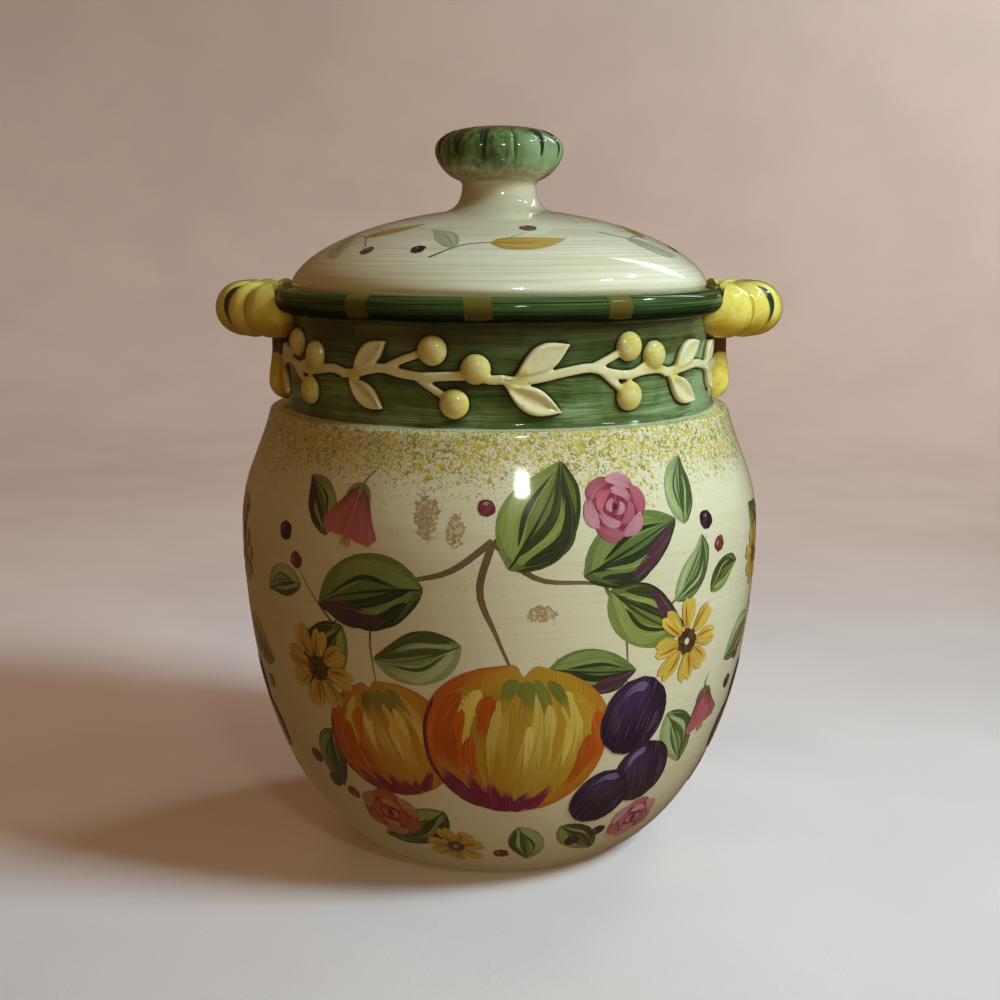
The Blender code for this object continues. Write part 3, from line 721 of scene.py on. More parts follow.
def neck_glaze(glazes, sizes):
    """Brushed green neck, darker round the vine where glaze pools and painted shade falls, lighter on
    its right as painted light, under a nearly black rim with painted light on its bead's upper half.
    Its lower edge is painted by hand over the cream."""
    r = Recipe("neck_glaze")
    body, _ = cream_shoulder(r, glazes, sizes)
    neck_foot = sizes.shoulder_height + 0.0018
    painted_radius = sizes.neck_radius + 0.0015
    rim_foot = sizes.rim_height - 2 * sizes.rim_bead + 0.0002
    bead_middle = sizes.bead_height

    swept = r.plus(r.z, r.swing(r.noise(r.place, 38.0, 2.0), 0.005))
    strokes = r.noise(r.stretched(30.0, 2500.0, swept), 1.0, 5.0, 0.68)
    patches = r.noise(r.place, 55.0, 3.0, 0.6)
    washes = r.noise(r.stretched(20.0, 260.0), 1.0, 4.0, 0.60)
    high = r.ramp(r.z, neck_foot + 0.018, rim_foot - 0.004)
    thin = r.plus(r.ramp(strokes, 0.32, 0.72, 0.06, 0.54), r.ramp(washes, 0.34, 0.72, -0.04, 0.44))
    # Lighter towards the foot, lighter towards +X as painted light from the right, and random patches.
    for added in (r.ramp(r.z, neck_foot - 0.001, neck_foot + 0.015, 0.22, 0.0),
                  r.ramp(r.x, 0.040, 0.078, -0.05, 0.50),
                  r.ramp(patches, 0.30, 0.70, -0.16, 0.20)):
        thin = r.plus(thin, added)
    # Darker and browner towards the top, under the rim.
    thin = r.minus(thin, r.times(high, 0.22))
    green = r.mix(r.ramp(thin, 0.02, 0.46), glazes.neck_dark, glazes.neck)
    green = r.mix(r.ramp(thin, 0.42, 1.05), green, glazes.neck_light)
    green = r.mix(r.times(high, 0.62), green, glazes.brown)
    # Darker green round the vine where glaze pools, with painted shade in the same creases.
    pooled_and_shaded = r.ramp(r.plus(r.hollows(0.0032), r.times(strokes, 0.22)), 0.80, 1.05)
    green = r.mix(pooled_and_shaded, scaled(glazes.neck_dark, 0.5), green)

    edge = r.plus(r.z, r.swing(r.noise(r.place, 60.0, 2.0), 0.0016))
    low_edge = r.plus(edge, r.minus(painted_radius, r.distance_out()))
    painted = r.mix(r.ramp(low_edge, neck_foot - 0.0003, neck_foot + 0.0003), body, green)
    rim_marks = r.noise(r.stretched(16.0, 1900.0), 1.0, 4.0, 0.65)
    # The bead's upper half is painted lighter as painted light, and its lower half stays nearly black as
    # painted shade.
    rim_marks_lit_top = r.times(r.ramp(rim_marks, 0.34, 0.68),
                       r.ramp(edge, bead_middle - 0.0030, bead_middle + 0.0010, 0.04, 1.0))
    rim = r.mix(rim_marks_lit_top, glazes.rim, glazes.rim_light)
    painted = r.mix(r.ramp(edge, rim_foot - 0.0004, rim_foot + 0.0004), painted, rim)
    made = r.glazed(painted, strokes, 0.00003)
    coat = r.plus(r.ramp(r.z, rim_foot - 0.001, rim_foot + 0.001, 0.95, 0.14),
                  r.ramp(r.z, bead_middle - 0.0020, bead_middle + 0.0022, 0.0, 0.50))
    r.feed(r.shader.inputs["Coat Weight"], coat)
    r.shader.inputs["Specular IOR Level"].default_value = 0.0
    return made


def plain_cream_glaze(glazes):
    r = Recipe("inside_glaze")
    return r.glazed(*cream_wash(r, glazes))


def clay_finish(glazes):
    """Unglazed clay where the foot stands."""
    r = Recipe("bare_clay")
    grain = r.noise(r.place, 1400.0, 4.0, 0.7)
    pores = r.ramp(r.noise(r.place, 420.0, 2.0), 0.30, 0.45)
    tone = r.mix(pores, scaled(glazes.clay, 0.7), glazes.clay)
    r.feed(r.shader.inputs["Base Color"], r.mix(r.ramp(grain, 0.4, 0.7), tone, scaled(glazes.clay, 1.2)))
    r.feed(r.shader.inputs["Roughness"], r.ramp(grain, 0.3, 0.7, 0.7, 0.9))
    r.feed(r.shader.inputs["Normal"], r.bump(grain, 0.00008, 0.6))
    return r.material


def lid_glaze(glazes):
    """Cream slip brushed on in rings while the lid turned, with painted shade and glaze pooling in its
    hollows.
    """
    r = Recipe("lid_glaze")
    marks = r.noise(r.ringed(1150.0, 16.0), 1.0, 5.0, 0.66)
    broad = r.noise(r.ringed(210.0, 13.0), 1.0, 3.0, 0.55)
    tone = r.plus(r.ramp(marks, 0.40, 0.64, 0.0, 0.80), r.ramp(broad, 0.42, 0.70, 0.0, 0.40))
    cream = r.mix(tone, glazes.lid_cream, glazes.lid_shade)
    # Darker in the hollows, as under the knob and against the rim: glaze pooling and painted shade.
    pooled_and_shaded = r.ramp(r.hollows(0.004), 0.25, 0.8)
    return r.glazed(r.mix(pooled_and_shaded, glazes.lid_shade, cream), marks)


def knob_glaze(glazes, sizes):
    """Brushed green cap that thins to olive underneath, over a cream stem. The cap is painted
    lighter on its right as painted light, the stem has a painted shadow under the cap, and the
    flutes' creases carry glaze pooling and painted shade.
    """
    r = Recipe("knob_glaze")
    cream, _ = cream_wash(r, glazes)
    widest = sizes.cap_height
    washes = r.noise(r.stretched(480.0, 110.0), 1.0, 3.0, 0.6)
    clouds = r.noise(r.place, 75.0, 2.0)
    cap = r.mix(r.ramp(washes, 0.38, 0.66), glazes.moss, glazes.sage)
    # The cap is lighter towards +X as painted light from the right, broken by random clouds.
    thin = r.times(r.ramp(clouds, 0.36, 0.62, 0.25, 1.0), r.ramp(r.x, -0.002, 0.016))
    cap = r.mix(thin, cap, glazes.neck_light)
    olive = r.mix(r.ramp(washes, 0.35, 0.7), OLIVE_DARK, OLIVE_PALE)
    edge = r.plus(r.z, r.swing(clouds, 0.004))
    under = r.mix(r.ramp(edge, widest - 0.0108, widest - 0.0084), cream, olive)
    painted = r.mix(r.ramp(edge, widest - 0.0068, widest - 0.0048), under, cap)
    # Painted shadow of the cap on the upper stem and in the hollow under the cap.
    unshaded_share = r.ramp(r.hollows(0.016), 0.40, 0.96)
    painted = r.mix(unshaded_share, r.mix(0.75, painted, KNOB_SHADE), painted)
    # Darker in the flutes' creases: glaze pooling and painted shade.
    creases = r.ramp(r.hollows(0.0025), 0.30, 0.80)
    painted = r.mix(creases, r.mix(0.6, painted, glazes.moss), painted)
    return r.glazed(painted, washes)


def lug_glaze(glazes, name, height, half_height):
    """Lemon yellow that runs to ochre low down, and brown in the creases from glaze pooling and painted
    shade.
    """
    r = Recipe(name)
    washes = r.noise(r.place, 120.0, 3.0, 0.6)
    fine = r.noise(r.place, 480.0, 3.0, 0.6)
    low = r.plus(r.ramp(r.z, height - 0.95 * half_height, height + 0.35 * half_height, 1.0, 0.0),
                 r.ramp(washes, 0.3, 0.7, -0.16, 0.22))
    body = r.mix(r.ramp(low, 0.10, 1.0), glazes.lemon, glazes.ochre)
    body = r.mix(r.ramp(fine, 0.35, 0.75, 0.0, 0.30), body, glazes.ochre)
    # Umber in the creases and where the handle meets the jar: glaze pooling and painted shade.
    unshaded_share = r.ramp(r.hollows(0.007), 0.34, 0.92)
    body = r.mix(unshaded_share, glazes.umber, body)
    return r.glazed(body, washes)


def drop_glaze(glazes):
    """Brown painted shadow where the drop hangs under the handle, bright yellow below."""
    r = Recipe("drop_glaze")
    washes = r.noise(r.place, 160.0, 3.0, 0.6)
    edge = r.plus(r.z, r.swing(washes, 0.006))
    body = r.mix(r.ramp(washes, 0.35, 0.7, 0.0, 0.7), glazes.lemon, glazes.ochre)
    # Painted shadow of the handle on the top of the drop.
    lug_shadow_height = LUG_BOX[0].z - 0.0068
    body = r.mix(r.ramp(edge, lug_shadow_height - 0.0006, lug_shadow_height + 0.0006), body, glazes.umber)
    return r.glazed(body, washes)


def vine_glaze(glazes):
    """Ivory relief with straw washes on its berries and nodes, browner against the neck, and darker in
    its hollows with glaze pooling and painted shade.
    """
    r = Recipe("vine_glaze")
    washes = r.noise(r.place, 330.0, 3.0, 0.6)
    tint = r.times(r.attribute("wash"), r.ramp(washes, 0.30, 0.62, 0.45, 1.0))
    body = r.mix(tint, glazes.ivory, glazes.straw)
    fine = r.noise(r.place, 900.0, 2.0)
    body = r.mix(r.ramp(fine, 0.5, 0.8, 0.0, 0.25), body, VINE_FLECK)
    body = r.mix(r.ramp(r.attribute("foot"), 0.0, 1.0), body, VINE_FOOT)
    # Darker in the relief's hollows: glaze pooling and painted shade.
    sunk = r.ramp(r.hollows(0.0016), 0.45, 0.90)
    body = r.mix(sunk, r.mix(0.6, body, VINE_POOL_AND_SHADE), body)
    return r.glazed(body, washes)


def brush_paint(name="brush_paint", contrast=1.0, coat=1.0):
    """Colour laid on by a brush: each stroke has its own colour, the colour that it covers, how
    loaded the brush is there, and bristle marks along it."""
    r = Recipe(name)
    marks = r.node("ShaderNodeUVMap", uv_map="bristles").outputs[0]
    run = r.node("ShaderNodeSeparateXYZ", {"Vector": marks}).outputs
    bristle = r.noise(r.vector(r.times(run[0], 60.0), r.times(run[1], 2300.0)), 1.0, 3.0, 0.6)
    paint, under = r.attribute("paint", "Color"), r.attribute("under", "Color")
    cover = r.ramp(r.minus(r.times(r.attribute("load"), 1.35), bristle), -0.05, 0.22, 0.12, 1.0)
    deep = r.mix(1.0, paint, BRISTLE_SHADE, "MULTIPLY")
    streaked = r.mix(r.ramp(bristle, 0.48, 0.80, 0.0, 0.85 * contrast), paint, deep)
    pale = r.mix(r.ramp(bristle, 0.47, 0.24, 0.0, 0.38 * contrast), streaked,
                 r.mix(0.4, paint, BRISTLE_PALE))
    made = r.glazed(r.mix(cover, under, pale), bristle, 0.00003)
    r.shader.inputs["Coat Weight"].default_value = coat
    r.shader.inputs["Specular IOR Level"].default_value = PAINT_SHEEN * coat
    return made


# Brush strokes


class Spot:
    """Where a motif is painted: its middle on a surface, and how far it is turned anticlockwise,
    in degrees. Its own points are across and up, in metres."""

    def __init__(self, surface, angle, distance, turn=0.0, mirrored=False):
        self.surface = surface
        self.angle = angle
        self.distance = distance
        self.turn = Matrix.Rotation(math.radians(turn), 2)
        self.mirrored = mirrored

    def on_surface(self, point):
        flat = self.turn @ Vector(point)
        if self.mirrored:
            flat.x = -flat.x
        distance = self.distance - flat.y
        return self.angle + flat.x / max(self.surface.radius(distance), 0.004), distance


def tapered(t):
    """A stroke that is round at its start and runs out to a thin tail."""
    return min(1.0, (t / 0.22) ** 0.5) * (1 - t) ** 0.75 if t < 1 else 0.0


def leaf_shaped(t):
    return math.sin(math.pi * t**0.78) ** 0.85


def petal_shaped(t):
    if t < 0.62:
        return 0.30 + 0.70 * math.sin(math.pi * t**1.35)
    return 0.99 * math.sqrt(max(0.0, 1 - ((t - 0.62) / 0.38) ** 2))


def oval(t):
    return math.sqrt(max(0.0, 1 - (2 * t - 1) ** 2))


def even(t):
    return min(1.0, t / 0.05, (1 - t) / 0.05) ** 0.4


def spindle(t):
    return math.sin(math.pi * t**0.8) ** 0.9


def flute_shaped(t):
    return min(1.0, (t / 0.16) ** 0.6) * (1 - t) ** 0.65


class Painting:
    """Brush strokes gathered into one mesh that lies just over a surface. Higher layers lie over
    lower ones."""

    first_lift = 0.00003
    layer_lift = 0.000022
    patch_lift = 0.0000026  # keeps strokes of one layer apart

    def __init__(self, seed):
        self.points, self.normals, self.faces = [], [], []
        self.paint, self.under, self.load, self.bristles = [], [], [], []
        self.patches = 0
        self.random = random.Random(seed)

    def patch(self, spot, rows, layer, tones):
        """One sheet of paint through rows of points. tones gives the colour, the colour under
        it and the load at a share along and a share across."""
        lift = self.first_lift + self.layer_lift * layer + self.patch_lift * (self.patches % 6)
        self.patches += 1
        start = len(self.points)
        count = len(rows[0])
        offset = self.random.uniform(0, 9)
        for i, row in enumerate(rows):
            for k, point in enumerate(row):
                angle, distance = spot.on_surface(point)
                self.points.append(spot.surface.place(angle, distance, lift))
                self.normals.append(spot.surface.normal(angle, distance))
                paint, under, load = tones(i / (len(rows) - 1), 2 * k / (count - 1) - 1)
                self.paint.append(paint)
                self.under.append(under)
                self.load.append(load)
                middle = row[count // 2]
                side = math.dist(point, middle) * (1 if k > count // 2 else -1)
                gone = math.dist(rows[0][count // 2], middle)
                self.bristles.append((gone + offset, side + 3 * offset))
        middle = start + (len(rows) // 2) * count + count // 2
        across = self.points[middle] - self.points[middle - 1]
        along = self.points[middle] - self.points[middle - count]
        outward = across.cross(along).dot(self.normals[middle]) > 0
        for i in range(len(rows) - 1):
            for k in range(count - 1):
                a = start + i * count + k
                face = (a, a + 1, a + count + 1, a + count)
                self.faces.append(face if outward else face[::-1])

    def stroke(self, spot, path, width, paint, layer, under=None, tail=None, shape=tapered,
               load=(1.0, 1.0), across=4, along=10, vary=0.14, sway=0.07):
        """One brush stroke along a path."""
        middle = smooth_path([(*p, 0.0) for p in path], along)
        shift = 1 + self.random.uniform(-vary, vary)
        start, end = scaled(paint, shift), scaled(tail or paint, shift)
        below = under or paint
        phase = self.random.uniform(0, 6)
        rows = []
        for i, point in enumerate(middle):
            a, b = middle[max(i - 1, 0)], middle[min(i + 1, along)]
            side = Vector((b - a).yx).normalized()
            side = Vector((side.x, -side.y))
            half = max(0.5 * width * shape(i / along), 0.00003)
            half *= 1 + sway * math.sin(phase + 9 * i / along)
            rows.append([point.xy + side * (half * (2 * k / across - 1))
                         for k in range(across + 1)])

        def tones(t, s):
            edge = 0.16 * abs(s) ** 3
            return (blended(blended(start, end, t), scaled(start, 0.5), edge), below,
                    load[0] + (load[1] - load[0]) * t)

        self.patch(spot, rows, layer, tones)

    def build(self, name, material, body, slot):
        """Turns the strokes into a piece of the model."""
        mesh = bpy.data.meshes.new(name)
        mesh.from_pydata([tuple(p) for p in self.points], [], self.faces)
        for key, values in (("paint", self.paint), ("under", self.under)):
            layer = mesh.color_attributes.new(key, "FLOAT_COLOR", "POINT")
            layer.data.foreach_set("color", [c for v in values for c in (*v, 1.0)])
        load = mesh.attributes.new("load", "FLOAT", "POINT")
        load.data.foreach_set("value", self.load)
        uv = mesh.uv_layers.new(name="bristles")
        uv.data.foreach_set("uv", [c for loop in mesh.loops for c in self.bristles[loop.vertex_index]])
        mesh.polygons.foreach_set("use_smooth", [True] * len(mesh.polygons))
        mesh.normals_split_custom_set_from_vertices(self.normals)
        dress(new_object(name, mesh), body, slot, [material])


# Painted motifs

LEAF_GREENS = {
    "olive": ((0.150, 0.190, 0.030), (0.085, 0.110, 0.018), (0.30, 0.34, 0.075), (0.036, 0.046, 0.012)),
    "deep": ((0.105, 0.155, 0.032), (0.060, 0.088, 0.020), (0.22, 0.28, 0.065), (0.026, 0.038, 0.012)),
    "sage": ((0.230, 0.290, 0.095), (0.140, 0.185, 0.050), (0.40, 0.46, 0.18), (0.070, 0.100, 0.026)),
}
PLUM_SHADE = (0.085, 0.030, 0.040)
BERRY_GLINT = (0.72, 0.62, 0.55)
TWIG, LID_TWIG = (0.145, 0.095, 0.040), (0.16, 0.125, 0.07)


class Leaf:
    """A leaf from its foot along +Y. A place on it is a share across, from -1 to 1, and a share
    of its length."""

    def __init__(self, size, width, bend):
        self.middle = [(0, 0), (bend * size * 0.5, size * 0.35), (bend * size * 0.6, size * 0.72),
                       (0, size)]
        self.size, self.width = size, width

    def at(self, s, t):
        path = smooth_path([(*p, 0.0) for p in self.middle], 20)
        i = min(int(t * 20), 19)
        point = path[i].lerp(path[i + 1], t * 20 - i)
        along = (path[i + 1] - path[i]).normalized()
        half = 0.5 * self.width * leaf_shaped(min(max(t, 0.0), 1.0))
        return (point.x + along.y * half * s, point.y - along.x * half * s)


def paint_leaf(painting, spot, size, width, kind, layer, plum=0.0):
    base, shade, light, dark = LEAF_GREENS[kind]
    rng = painting.random
    leaf = Leaf(size, width, rng.uniform(-0.22, 0.22))
    rows = [[leaf.at(-1 + 2 * k / 6, min(max(i / 14, 0.004), 0.996)) for k in range(7)]
            for i in range(15)]
    lit = 1 if rng.random() < 0.5 else -1

    def tones(t, s):
        tone = blended(base, light, 0.40 * share_between(s * lit, 0.0, 0.9))
        tone = blended(tone, shade, 0.70 * share_between(-s * lit, 0.10, 0.9))
        tone = blended(tone, PLUM_SHADE, plum * share_between(-s * lit, 0.1, 0.9)
                       * share_between(t, 0.25, 0.7))
        return tone, base, 1.0

    painting.patch(spot, rows, layer, tones)

    def streak(places, wide, tint, over, load=(1.0, 0.7)):
        path = [leaf.at(lit * (s + rng.uniform(-0.04, 0.04)), t + rng.uniform(-0.03, 0.03) * (t < 0.9))
                for s, t in places]
        painting.stroke(spot, path, wide * width * rng.uniform(0.85, 1.15), tint, over, base,
                        shape=spindle, load=load, across=4, along=24)

    faint = blended(base, light, 0.6)
    streak(((0.10, 0.05), (0.56, 0.42), (0.20, 0.94)), 0.32, light, layer + 1, (0.80, 0.40))
    streak(((0.42, 0.12), (0.80, 0.48), (0.50, 0.84)), 0.13, light, layer + 2, (0.90, 0.35))
    streak(((-0.12, 0.08), (-0.46, 0.38), (-0.20, 0.84)), 0.24, faint, layer + 1, (0.70, 0.30))
    streak(((-0.50, 0.10), (-0.84, 0.46), (-0.36, 0.96)), 0.20, dark, layer + 2, (0.95, 0.65))
    streak(((-0.02, 0.10), (-0.30, 0.52), (-0.10, 0.97)), 0.15, dark, layer + 2, (1.0, 0.60))
    streak(((0.14, 0.20), (0.36, 0.50), (0.22, 0.86)), 0.075, dark, layer + 3, (0.95, 0.45))
    streak(((-0.20, 0.16), (-0.52, 0.44), (-0.46, 0.70)), 0.06, light, layer + 3, (0.75, 0.30))
    if plum:
        streak(((-0.88, 0.36), (-0.72, 0.70), (-0.24, 0.97)), 0.26, PLUM_SHADE, layer + 3, (0.95, 0.55))
        streak(((-0.50, 0.50), (-0.42, 0.76), (-0.08, 0.98)), 0.14, PLUM_SHADE, layer + 3, (0.90, 0.45))
    painting.stroke(spot, [leaf.at(0.0, t) for t in (0.0, 0.35, 0.70, 0.985)], 0.050 * width, dark,
                    layer + 4, base, load=(1.0, 0.8), across=2, along=24)
    rim = [leaf.at(-lit * 0.97, t) for t in (0.02, 0.25, 0.50, 0.75, 0.99)]
    painting.stroke(spot, rim, 0.045 * width, dark, layer + 4, base, shape=even, across=2, along=24,
                    load=(0.95, 0.7))


class Fruit:
    """A round fruit. A place on it is a share across and a share up, each from -1 to 1."""

    def __init__(self, half_width, half_height, dimple=0.0, taper=0.0):
        self.half_width, self.half_height = half_width, half_height
        self.dimple, self.taper = dimple, taper

    def at(self, p, q):
        round_width = math.sqrt(max(0.0, 1 - abs(q) ** 2.2))
        width = self.half_width * round_width * (1 + self.taper * q)
        dip = self.dimple * self.half_height * math.exp(-(p / 0.42) ** 2) * share_between(q, 0.35, 1.0)
        return (p * width, q * self.half_height - dip)


def paint_fruit(painting, spot, fruit, colours, layer):
    """A fruit built up from a wash and long curved strokes that follow its roundness. colours
    are its body, light, blush, blush's shade and green."""
    body, light, blush, deep, green = colours
    rng = painting.random
    rows = [[fruit.at(-1 + 2 * k / 20, 0.992 - 1.984 * i / 26) for k in range(21)] for i in range(27)]

    def wash(t, s):
        q = 1 - 2 * t
        tone = blended(body, light, 0.7 * share_between(0.9 - abs(s - 0.25) - abs(q - 0.1), 0.0, 0.8))
        tone = blended(tone, blush, share_between(-s - 0.25 * q, 0.12, 0.85))
        tone = blended(tone, blush, 0.7 * share_between(s - 0.1 * q, 0.72, 1.0))
        tone = blended(tone, deep, 0.9 * share_between(-q - 0.35 * s, 0.62, 1.05))
        return tone, body, 1.0

    painting.patch(spot, rows, layer, wash)
    wide = 0.115 * fruit.half_width

    def meridian(p, q0, q1, tint, width, over, load):
        steps = [q0 + (q1 - q0) * i / 4 for i in range(5)]
        lean = rng.uniform(-0.07, 0.07)
        path = [fruit.at(p * (1 - 0.18 * q * q) + lean * i / 4, q) for i, q in enumerate(steps)]
        painting.stroke(spot, path, width, tint, over, body, load=load, across=5, along=22)

    for i in range(9):
        p = -0.80 + 0.2 * i + rng.uniform(-0.05, 0.05)
        meridian(p, rng.uniform(0.55, 0.85), rng.uniform(-0.75, -0.3), light if i % 2 else body,
                 wide * rng.uniform(1.5, 2.4), layer + 1, (0.8, 0.25))
    for tint, over, narrowest, widest, load, runs in (
            (blush, 2, 1.3, 2.2, (0.95, 0.30),
             ((-0.93, 0.35, -0.80), (-0.80, 0.62, -0.66), (-0.64, 0.40, -0.88), (-0.50, 0.05, -0.80),
              (-0.74, 0.15, -0.55), (-0.40, 0.62, -0.10), (0.90, 0.45, -0.55), (0.78, 0.15, -0.80))),
            (deep, 3, 1.4, 2.2, (1.0, 0.2),
             ((-0.86, -0.92, -0.25), (-0.60, -0.96, -0.30), (-0.34, -0.97, -0.45),
              (-0.05, -0.98, -0.60), (0.28, -0.97, -0.62), (0.62, -0.93, -0.50))),
            (light, 3, 1.0, 1.6, (0.85, 0.2),
             ((0.34, 0.55, -0.35), (0.55, 0.30, -0.40), (0.12, 0.25, -0.55))),
            (green, 2, 1.2, 2.0, (0.9, 0.15),
             ((-0.22, 0.93, 0.35), (0.05, 0.95, 0.20), (0.30, 0.93, 0.00), (0.50, 0.86, 0.35)))):
        for p, q0, q1 in runs:
            meridian(p, q0, q1, tint, wide * rng.uniform(narrowest, widest), layer + over, load)
    rim = [fruit.at(-0.985, q) for q in (0.5, 0.1, -0.4, -0.8)]
    painting.stroke(spot, rim, 0.35 * wide, deep, layer + 3, body, shape=even, across=2, along=14)


def paint_plum(painting, spot, half_width, half_height, colours, layer):
    """A small dark fruit with a bloom of light on one side."""
    dark, mid, bloom = colours
    fruit = Fruit(half_width, half_height)
    rows = [[fruit.at(-1 + 2 * k / 8, 0.985 - 1.97 * i / 10) for k in range(9)] for i in range(11)]

    def wash(t, s):
        q = 1 - 2 * t
        glow = share_between(1.0 - math.hypot(s + 0.35, q - 0.40), 0.0, 0.85)
        return blended(dark, mid, glow), dark, 1.0

    painting.patch(spot, rows, layer, wash)
    curve = [fruit.at(0.10, 0.80), fruit.at(-0.50, 0.62), fruit.at(-0.72, 0.15)]
    painting.stroke(spot, curve, 0.34 * half_width, bloom, layer + 1, mid, load=(0.75, 0.25),
                    across=4, along=8)
    lower = [fruit.at(0.72, 0.25), fruit.at(0.70, -0.30), fruit.at(0.20, -0.72)]
    painting.stroke(spot, lower, 0.26 * half_width, mid, layer + 1, dark, load=(0.7, 0.2), along=8)


def outwards(turn):
    """The direction at an angle clockwise from straight up."""
    return Vector((math.sin(turn), math.cos(turn)))


def paint_cosmos(painting, spot, radius, petals, layer):
    """Broad golden petals, each of two strokes that part at its notched tip, round a dark eye."""
    rng = painting.random
    gold, pale, orange = (0.50, 0.285, 0.018), (0.70, 0.47, 0.075), (0.36, 0.125, 0.010)
    brown, wine = (0.090, 0.050, 0.012), (0.17, 0.022, 0.035)
    for i in range(petals):
        turn = 2 * math.pi * i / petals + rng.uniform(-0.07, 0.07)
        out = outwards(turn)
        side = Vector((out.y, -out.x))
        reach = radius * rng.uniform(0.92, 1.06)
        width = 2.2 * radius / petals * rng.uniform(0.95, 1.10)
        over = layer + i % 2
        for way in (-1, 1):
            lean = way * 0.36 * width * side
            painting.stroke(spot, [0.20 * radius * out, 0.60 * reach * out + 0.8 * lean,
                                   reach * out + lean], width, gold, over, tail=pale,
                            shape=petal_shaped, across=5, along=9)
            painting.stroke(spot, [0.32 * reach * out + 0.5 * lean, 0.66 * reach * out + lean,
                                   0.93 * reach * out + lean], 0.26 * width,
                            orange if way < 0 else pale, layer + 2, gold, load=(0.95, 0.25),
                            across=3, along=7)
    for i in range(9):
        turn = 2 * math.pi * (i + 0.3) / 9
        at = outwards(turn)
        painting.stroke(spot, [0.08 * radius * at, 0.31 * radius * at], 0.20 * radius,
                        brown, layer + 3, shape=oval, across=4, along=6, vary=0.5)
    for i in range(7):
        turn = 2 * math.pi * (i + 0.6) / 7
        at = outwards(turn) * 0.27 * radius
        painting.stroke(spot, [0.8 * at, 1.2 * at], 0.09 * radius, wine, layer + 4, shape=oval,
                        across=3, along=4, vary=0.3)


def paint_rose(painting, spot, radius, colours, layer):
    """A round flower of C-shaped strokes that wind in to its middle."""
    rng = painting.random
    (deep, glow), lighter = colours
    painting.stroke(spot, [(0, -0.94 * radius), (0, 0.94 * radius)], 1.9 * radius, deep, layer,
                    shape=oval, across=8, along=12)

    def curl(reach, start, sweep, width, tint, over, load=(1.0, 0.35)):
        steps = [math.radians(start + sweep * i / 4) for i in range(5)]
        path = [(reach * math.sin(a), reach * math.cos(a)) for a in steps]
        painting.stroke(spot, path, width, tint, over, deep, tail=blended(tint, deep, 0.4),
                        shape=spindle, load=load, across=4, along=12)

    first = rng.uniform(0, 60)
    for i in range(6):
        curl(0.86 * radius, first + 60 * i, 74, 0.44 * radius, glow if i % 2 else lighter, layer + 1)
    for i in range(4):
        curl(0.52 * radius, first + 30 + 90 * i, 104, 0.32 * radius, lighter if i % 2 else glow,
             layer + 2)
    for i in range(2):
        curl(0.22 * radius, first + 180 * i, 150, 0.20 * radius, lighter, layer + 3)
    painting.stroke(spot, [(0, -0.10 * radius), (0, 0.10 * radius)], 0.16 * radius,
                    scaled(deep, 0.4), layer + 4, shape=oval, across=3, along=4)


def paint_bell(painting, spot, size, layer):
    """A hanging bell flower of three flared lobes under a green cap."""
    rose, wine, glow = (0.24, 0.024, 0.050), (0.085, 0.008, 0.026), (0.48, 0.13, 0.12)
    stalk, stamen = (0.12, 0.10, 0.03), (0.56, 0.36, 0.06)
    cap, cap_tip = (0.12, 0.14, 0.03), (0.24, 0.27, 0.07)
    painting.stroke(spot, [(0, 0), (0.05 * size, 0.22 * size), (0.20 * size, 0.44 * size)],
                    0.05 * size, stalk, layer, across=2)
    for lean in (-0.10, 0.0, 0.10):
        painting.stroke(spot, [(0.5 * lean * size, -0.80 * size), (lean * size, -1.16 * size)],
                        0.07 * size, stamen, layer, shape=oval, across=3, along=6)

    def flared(t):
        return 0.42 + 0.58 * t**1.6 if t < 0.9 else (0.42 + 0.58 * t**1.6) * (1 - t) ** 0.5 * 3.16

    for lean, tint, over in ((-0.36, wine, 1), (0.36, wine, 1), (-0.19, rose, 2), (0.19, rose, 2),
                             (0.0, rose, 3)):
        painting.stroke(spot, [(0.15 * lean * size, 0.0), (0.75 * lean * size, -0.45 * size),
                               (1.45 * lean * size, -1.0 * size)], 0.44 * size, tint, layer + over,
                        wine, tail=glow, shape=flared, load=(1.0, 0.85), across=6, along=12)
        painting.stroke(spot, [(0.3 * lean * size, -0.15 * size), (1.40 * lean * size, -0.92 * size)],
                        0.07 * size, glow, layer + over + 1, rose, load=(0.9, 0.4), across=2,
                        along=8)
    for lean in (-0.30, 0.0, 0.30):
        painting.stroke(spot, [(0, 0.08 * size), (0.6 * lean * size, -0.03 * size),
                               (lean * size, -0.20 * size)], 0.14 * size, cap, layer + 5,
                        tail=cap_tip, along=7)


def paint_berry(painting, spot, radius, colours, layer):
    dark, mid = colours
    painting.stroke(spot, [(0, -radius), (0, radius)], 2 * radius, dark, layer, shape=oval,
                    across=6, along=8)
    painting.stroke(spot, [(-0.55 * radius, 0.0), (-0.38 * radius, 0.48 * radius),
                           (0.10 * radius, 0.60 * radius)], 0.36 * radius, mid, layer + 1, dark,
                    load=(0.95, 0.4), across=3, along=6)
    painting.stroke(spot, [(-0.30 * radius, 0.26 * radius), (-0.16 * radius, 0.36 * radius)],
                    0.16 * radius, BERRY_GLINT, layer + 2, mid, shape=oval, across=2, along=3)


def paint_twig(painting, spot, path, width, tint):
    painting.stroke(spot, path, width, tint, 0, tail=scaled(tint, 1.6), load=(1.0, 0.65), across=3,
                    along=16, shape=lambda t: 1 - 0.72 * t)


# Layout of the painting. Each panel lies round an angle of the jar. Places are millimetres across
# from its middle and millimetres up from the floor, turns are degrees anticlockwise, and sizes
# are millimetres.

